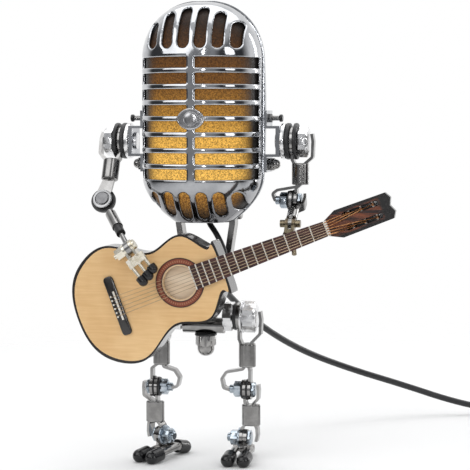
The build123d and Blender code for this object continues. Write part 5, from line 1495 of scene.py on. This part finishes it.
def tuner(along, way):
    """A roller across its slot, and its knob behind the head on a short stem."""
    roller = aimed(turned(disc_rows(-1.15, 1.15, 0.62, 0.1), 20), (along, way * SLOT_V, -2.0), (0, 1, 0))
    stem = aimed(turned(disc_rows(3.9, 6.2, 0.5, 0.1), 16), (along, way * KNOB_V, 0), (0, 0, -1))
    knob = aimed(turned(disc_rows(6.0, 8.6, 1.4, 0.5), 28), (along, way * KNOB_V, 0), (0, 0, -1))
    return joined((roller, stem, knob))


class LAMP_OT_guitar(bpy.types.Operator):
    """The guitar's rounded edges, bridge, strings and slotted head"""

    bl_idname = "lamp.guitar"
    bl_label = "Guitar"

    def execute(self, context):
        guitar = context.scene.lamp_guitar
        softened("guitar_body", guitar.edge / MM)
        softened("guitar_neck", 0.35, "headstock")
        softened("fretboard", 0.12)
        softened("frets_and_nut", 0.08)
        radius = np.array(STRING_RADII) * guitar.thickness
        runs = [tube(string_path(number)[:3], radius[number], 8) for number in range(6)]
        ends = [tube(string_path(number)[2:], 0.26, 8) for number in range(6)]
        coils = [tube(winding(number), 0.16, 6) for number in range(6)]
        tuners = [tuner(POST_U + POST_PITCH * step, way) for way in (-1, 1) for step in range(3)]
        slot = plate(rounded_outline(18.0, 3.2, 1.2, 4), -4.1, -3.6, 0.05)
        floors = [moved(slot, (NUT_U + 17.0, way * SLOT_V, 0)) for way in (-1, 1)]
        # The inside back sits about 3 mm under the face, in a tone made pale as painted light in the sound
        # hole.
        turn = np.arange(96) / 96 * 2 * math.pi
        back = plate(np.stack((13.5 * np.cos(turn), 12.5 * np.sin(turn)), -1), -3.2, -2.8, 0.1)
        pin = turned(disc_rows(1.5, 2.25, 0.42, 0.2), 20)
        pins = [aimed(pin, (BRIDGE_U - 1.2, (number - 2.5) * 1.9, 0), (0, 0, 1)) for number in range(6)]
        for name, shapes, finish, *replaced in (
            ("bridge", [bridge_shape()], "guitar_black", "guitar_bridge"),
            ("string_set", runs, "string", "strings"),
            ("string_ends", ends, "copper"),
            ("string_windings", coils, "copper"),
            ("tuner_set", tuners, "bone", "tuner_posts"),
            ("slot_floors", floors, "guitar_black"),
            ("inside_back", [back], "inside"),
            ("bridge_pins", pins, "bone"),
        ):
            make_piece(name, on_guitar(joined(shapes)), finish, "torso", replaced)
        return {"FINISHED"}


# ---------------------------------------------------------------- finishes on the CAD nodes
class LAMP_OT_finishes(bpy.types.Operator):
    """Gives each remaining node the finish of its material slot"""

    bl_idname = "lamp.finishes"
    bl_label = "Finishes"

    def execute(self, context):
        for row in frame["record"]["subparts"]:
            piece = NODES[row["node"]]
            piece.data.materials.clear()
            piece.data.materials.append(FINISHES[row["material_slot"]])
        return {"FINISHED"}


class LAMP_PT_panel(bpy.types.Panel):
    """The lamp's steps and sizes"""

    bl_label = "Guitarist robot lamp"
    bl_idname = "LAMP_PT_panel"
    bl_space_type = "VIEW_3D"
    bl_region_type = "UI"
    bl_category = "Lamp"

    def draw(self, context):
        for name in STEPS:
            self.layout.operator(f"lamp.{name}")
        for name, group in SETTINGS.items():
            box = self.layout.box()
            box.label(text=name.replace("_", " ").title())
            for key in group.__annotations__:
                box.prop(getattr(context.scene, name), key)


STEPS = ("stage", "finishes", "cords", "head", "hardware", "limbs", "guitar")
SETTINGS = {
    "lamp_stage": LampStageSettings,
    "lamp_cord": LampCordSettings,
    "lamp_head": LampHeadSettings,
    "lamp_hardware": LampHardwareSettings,
    "lamp_limbs": LampLimbSettings,
    "lamp_guitar": LampGuitarSettings,
}
CLASSES = (
    *SETTINGS.values(),
    LAMP_OT_stage,
    LAMP_OT_finishes,
    LAMP_OT_cords,
    LAMP_OT_head,
    LAMP_OT_hardware,
    LAMP_OT_limbs,
    LAMP_OT_guitar,
    LAMP_PT_panel,
)


def register():
    for entry in CLASSES:
        bpy.utils.register_class(entry)
    for name, group in SETTINGS.items():
        setattr(bpy.types.Scene, name, bpy.props.PointerProperty(type=group))


def unregister():
    for name in SETTINGS:
        delattr(bpy.types.Scene, name)
    for entry in reversed(CLASSES):
        bpy.utils.unregister_class(entry)


def main():
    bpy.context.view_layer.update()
    register()
    make_finishes()
    for name in STEPS:
        getattr(bpy.ops.lamp, name)()


if __name__ == "__main__":
    main()
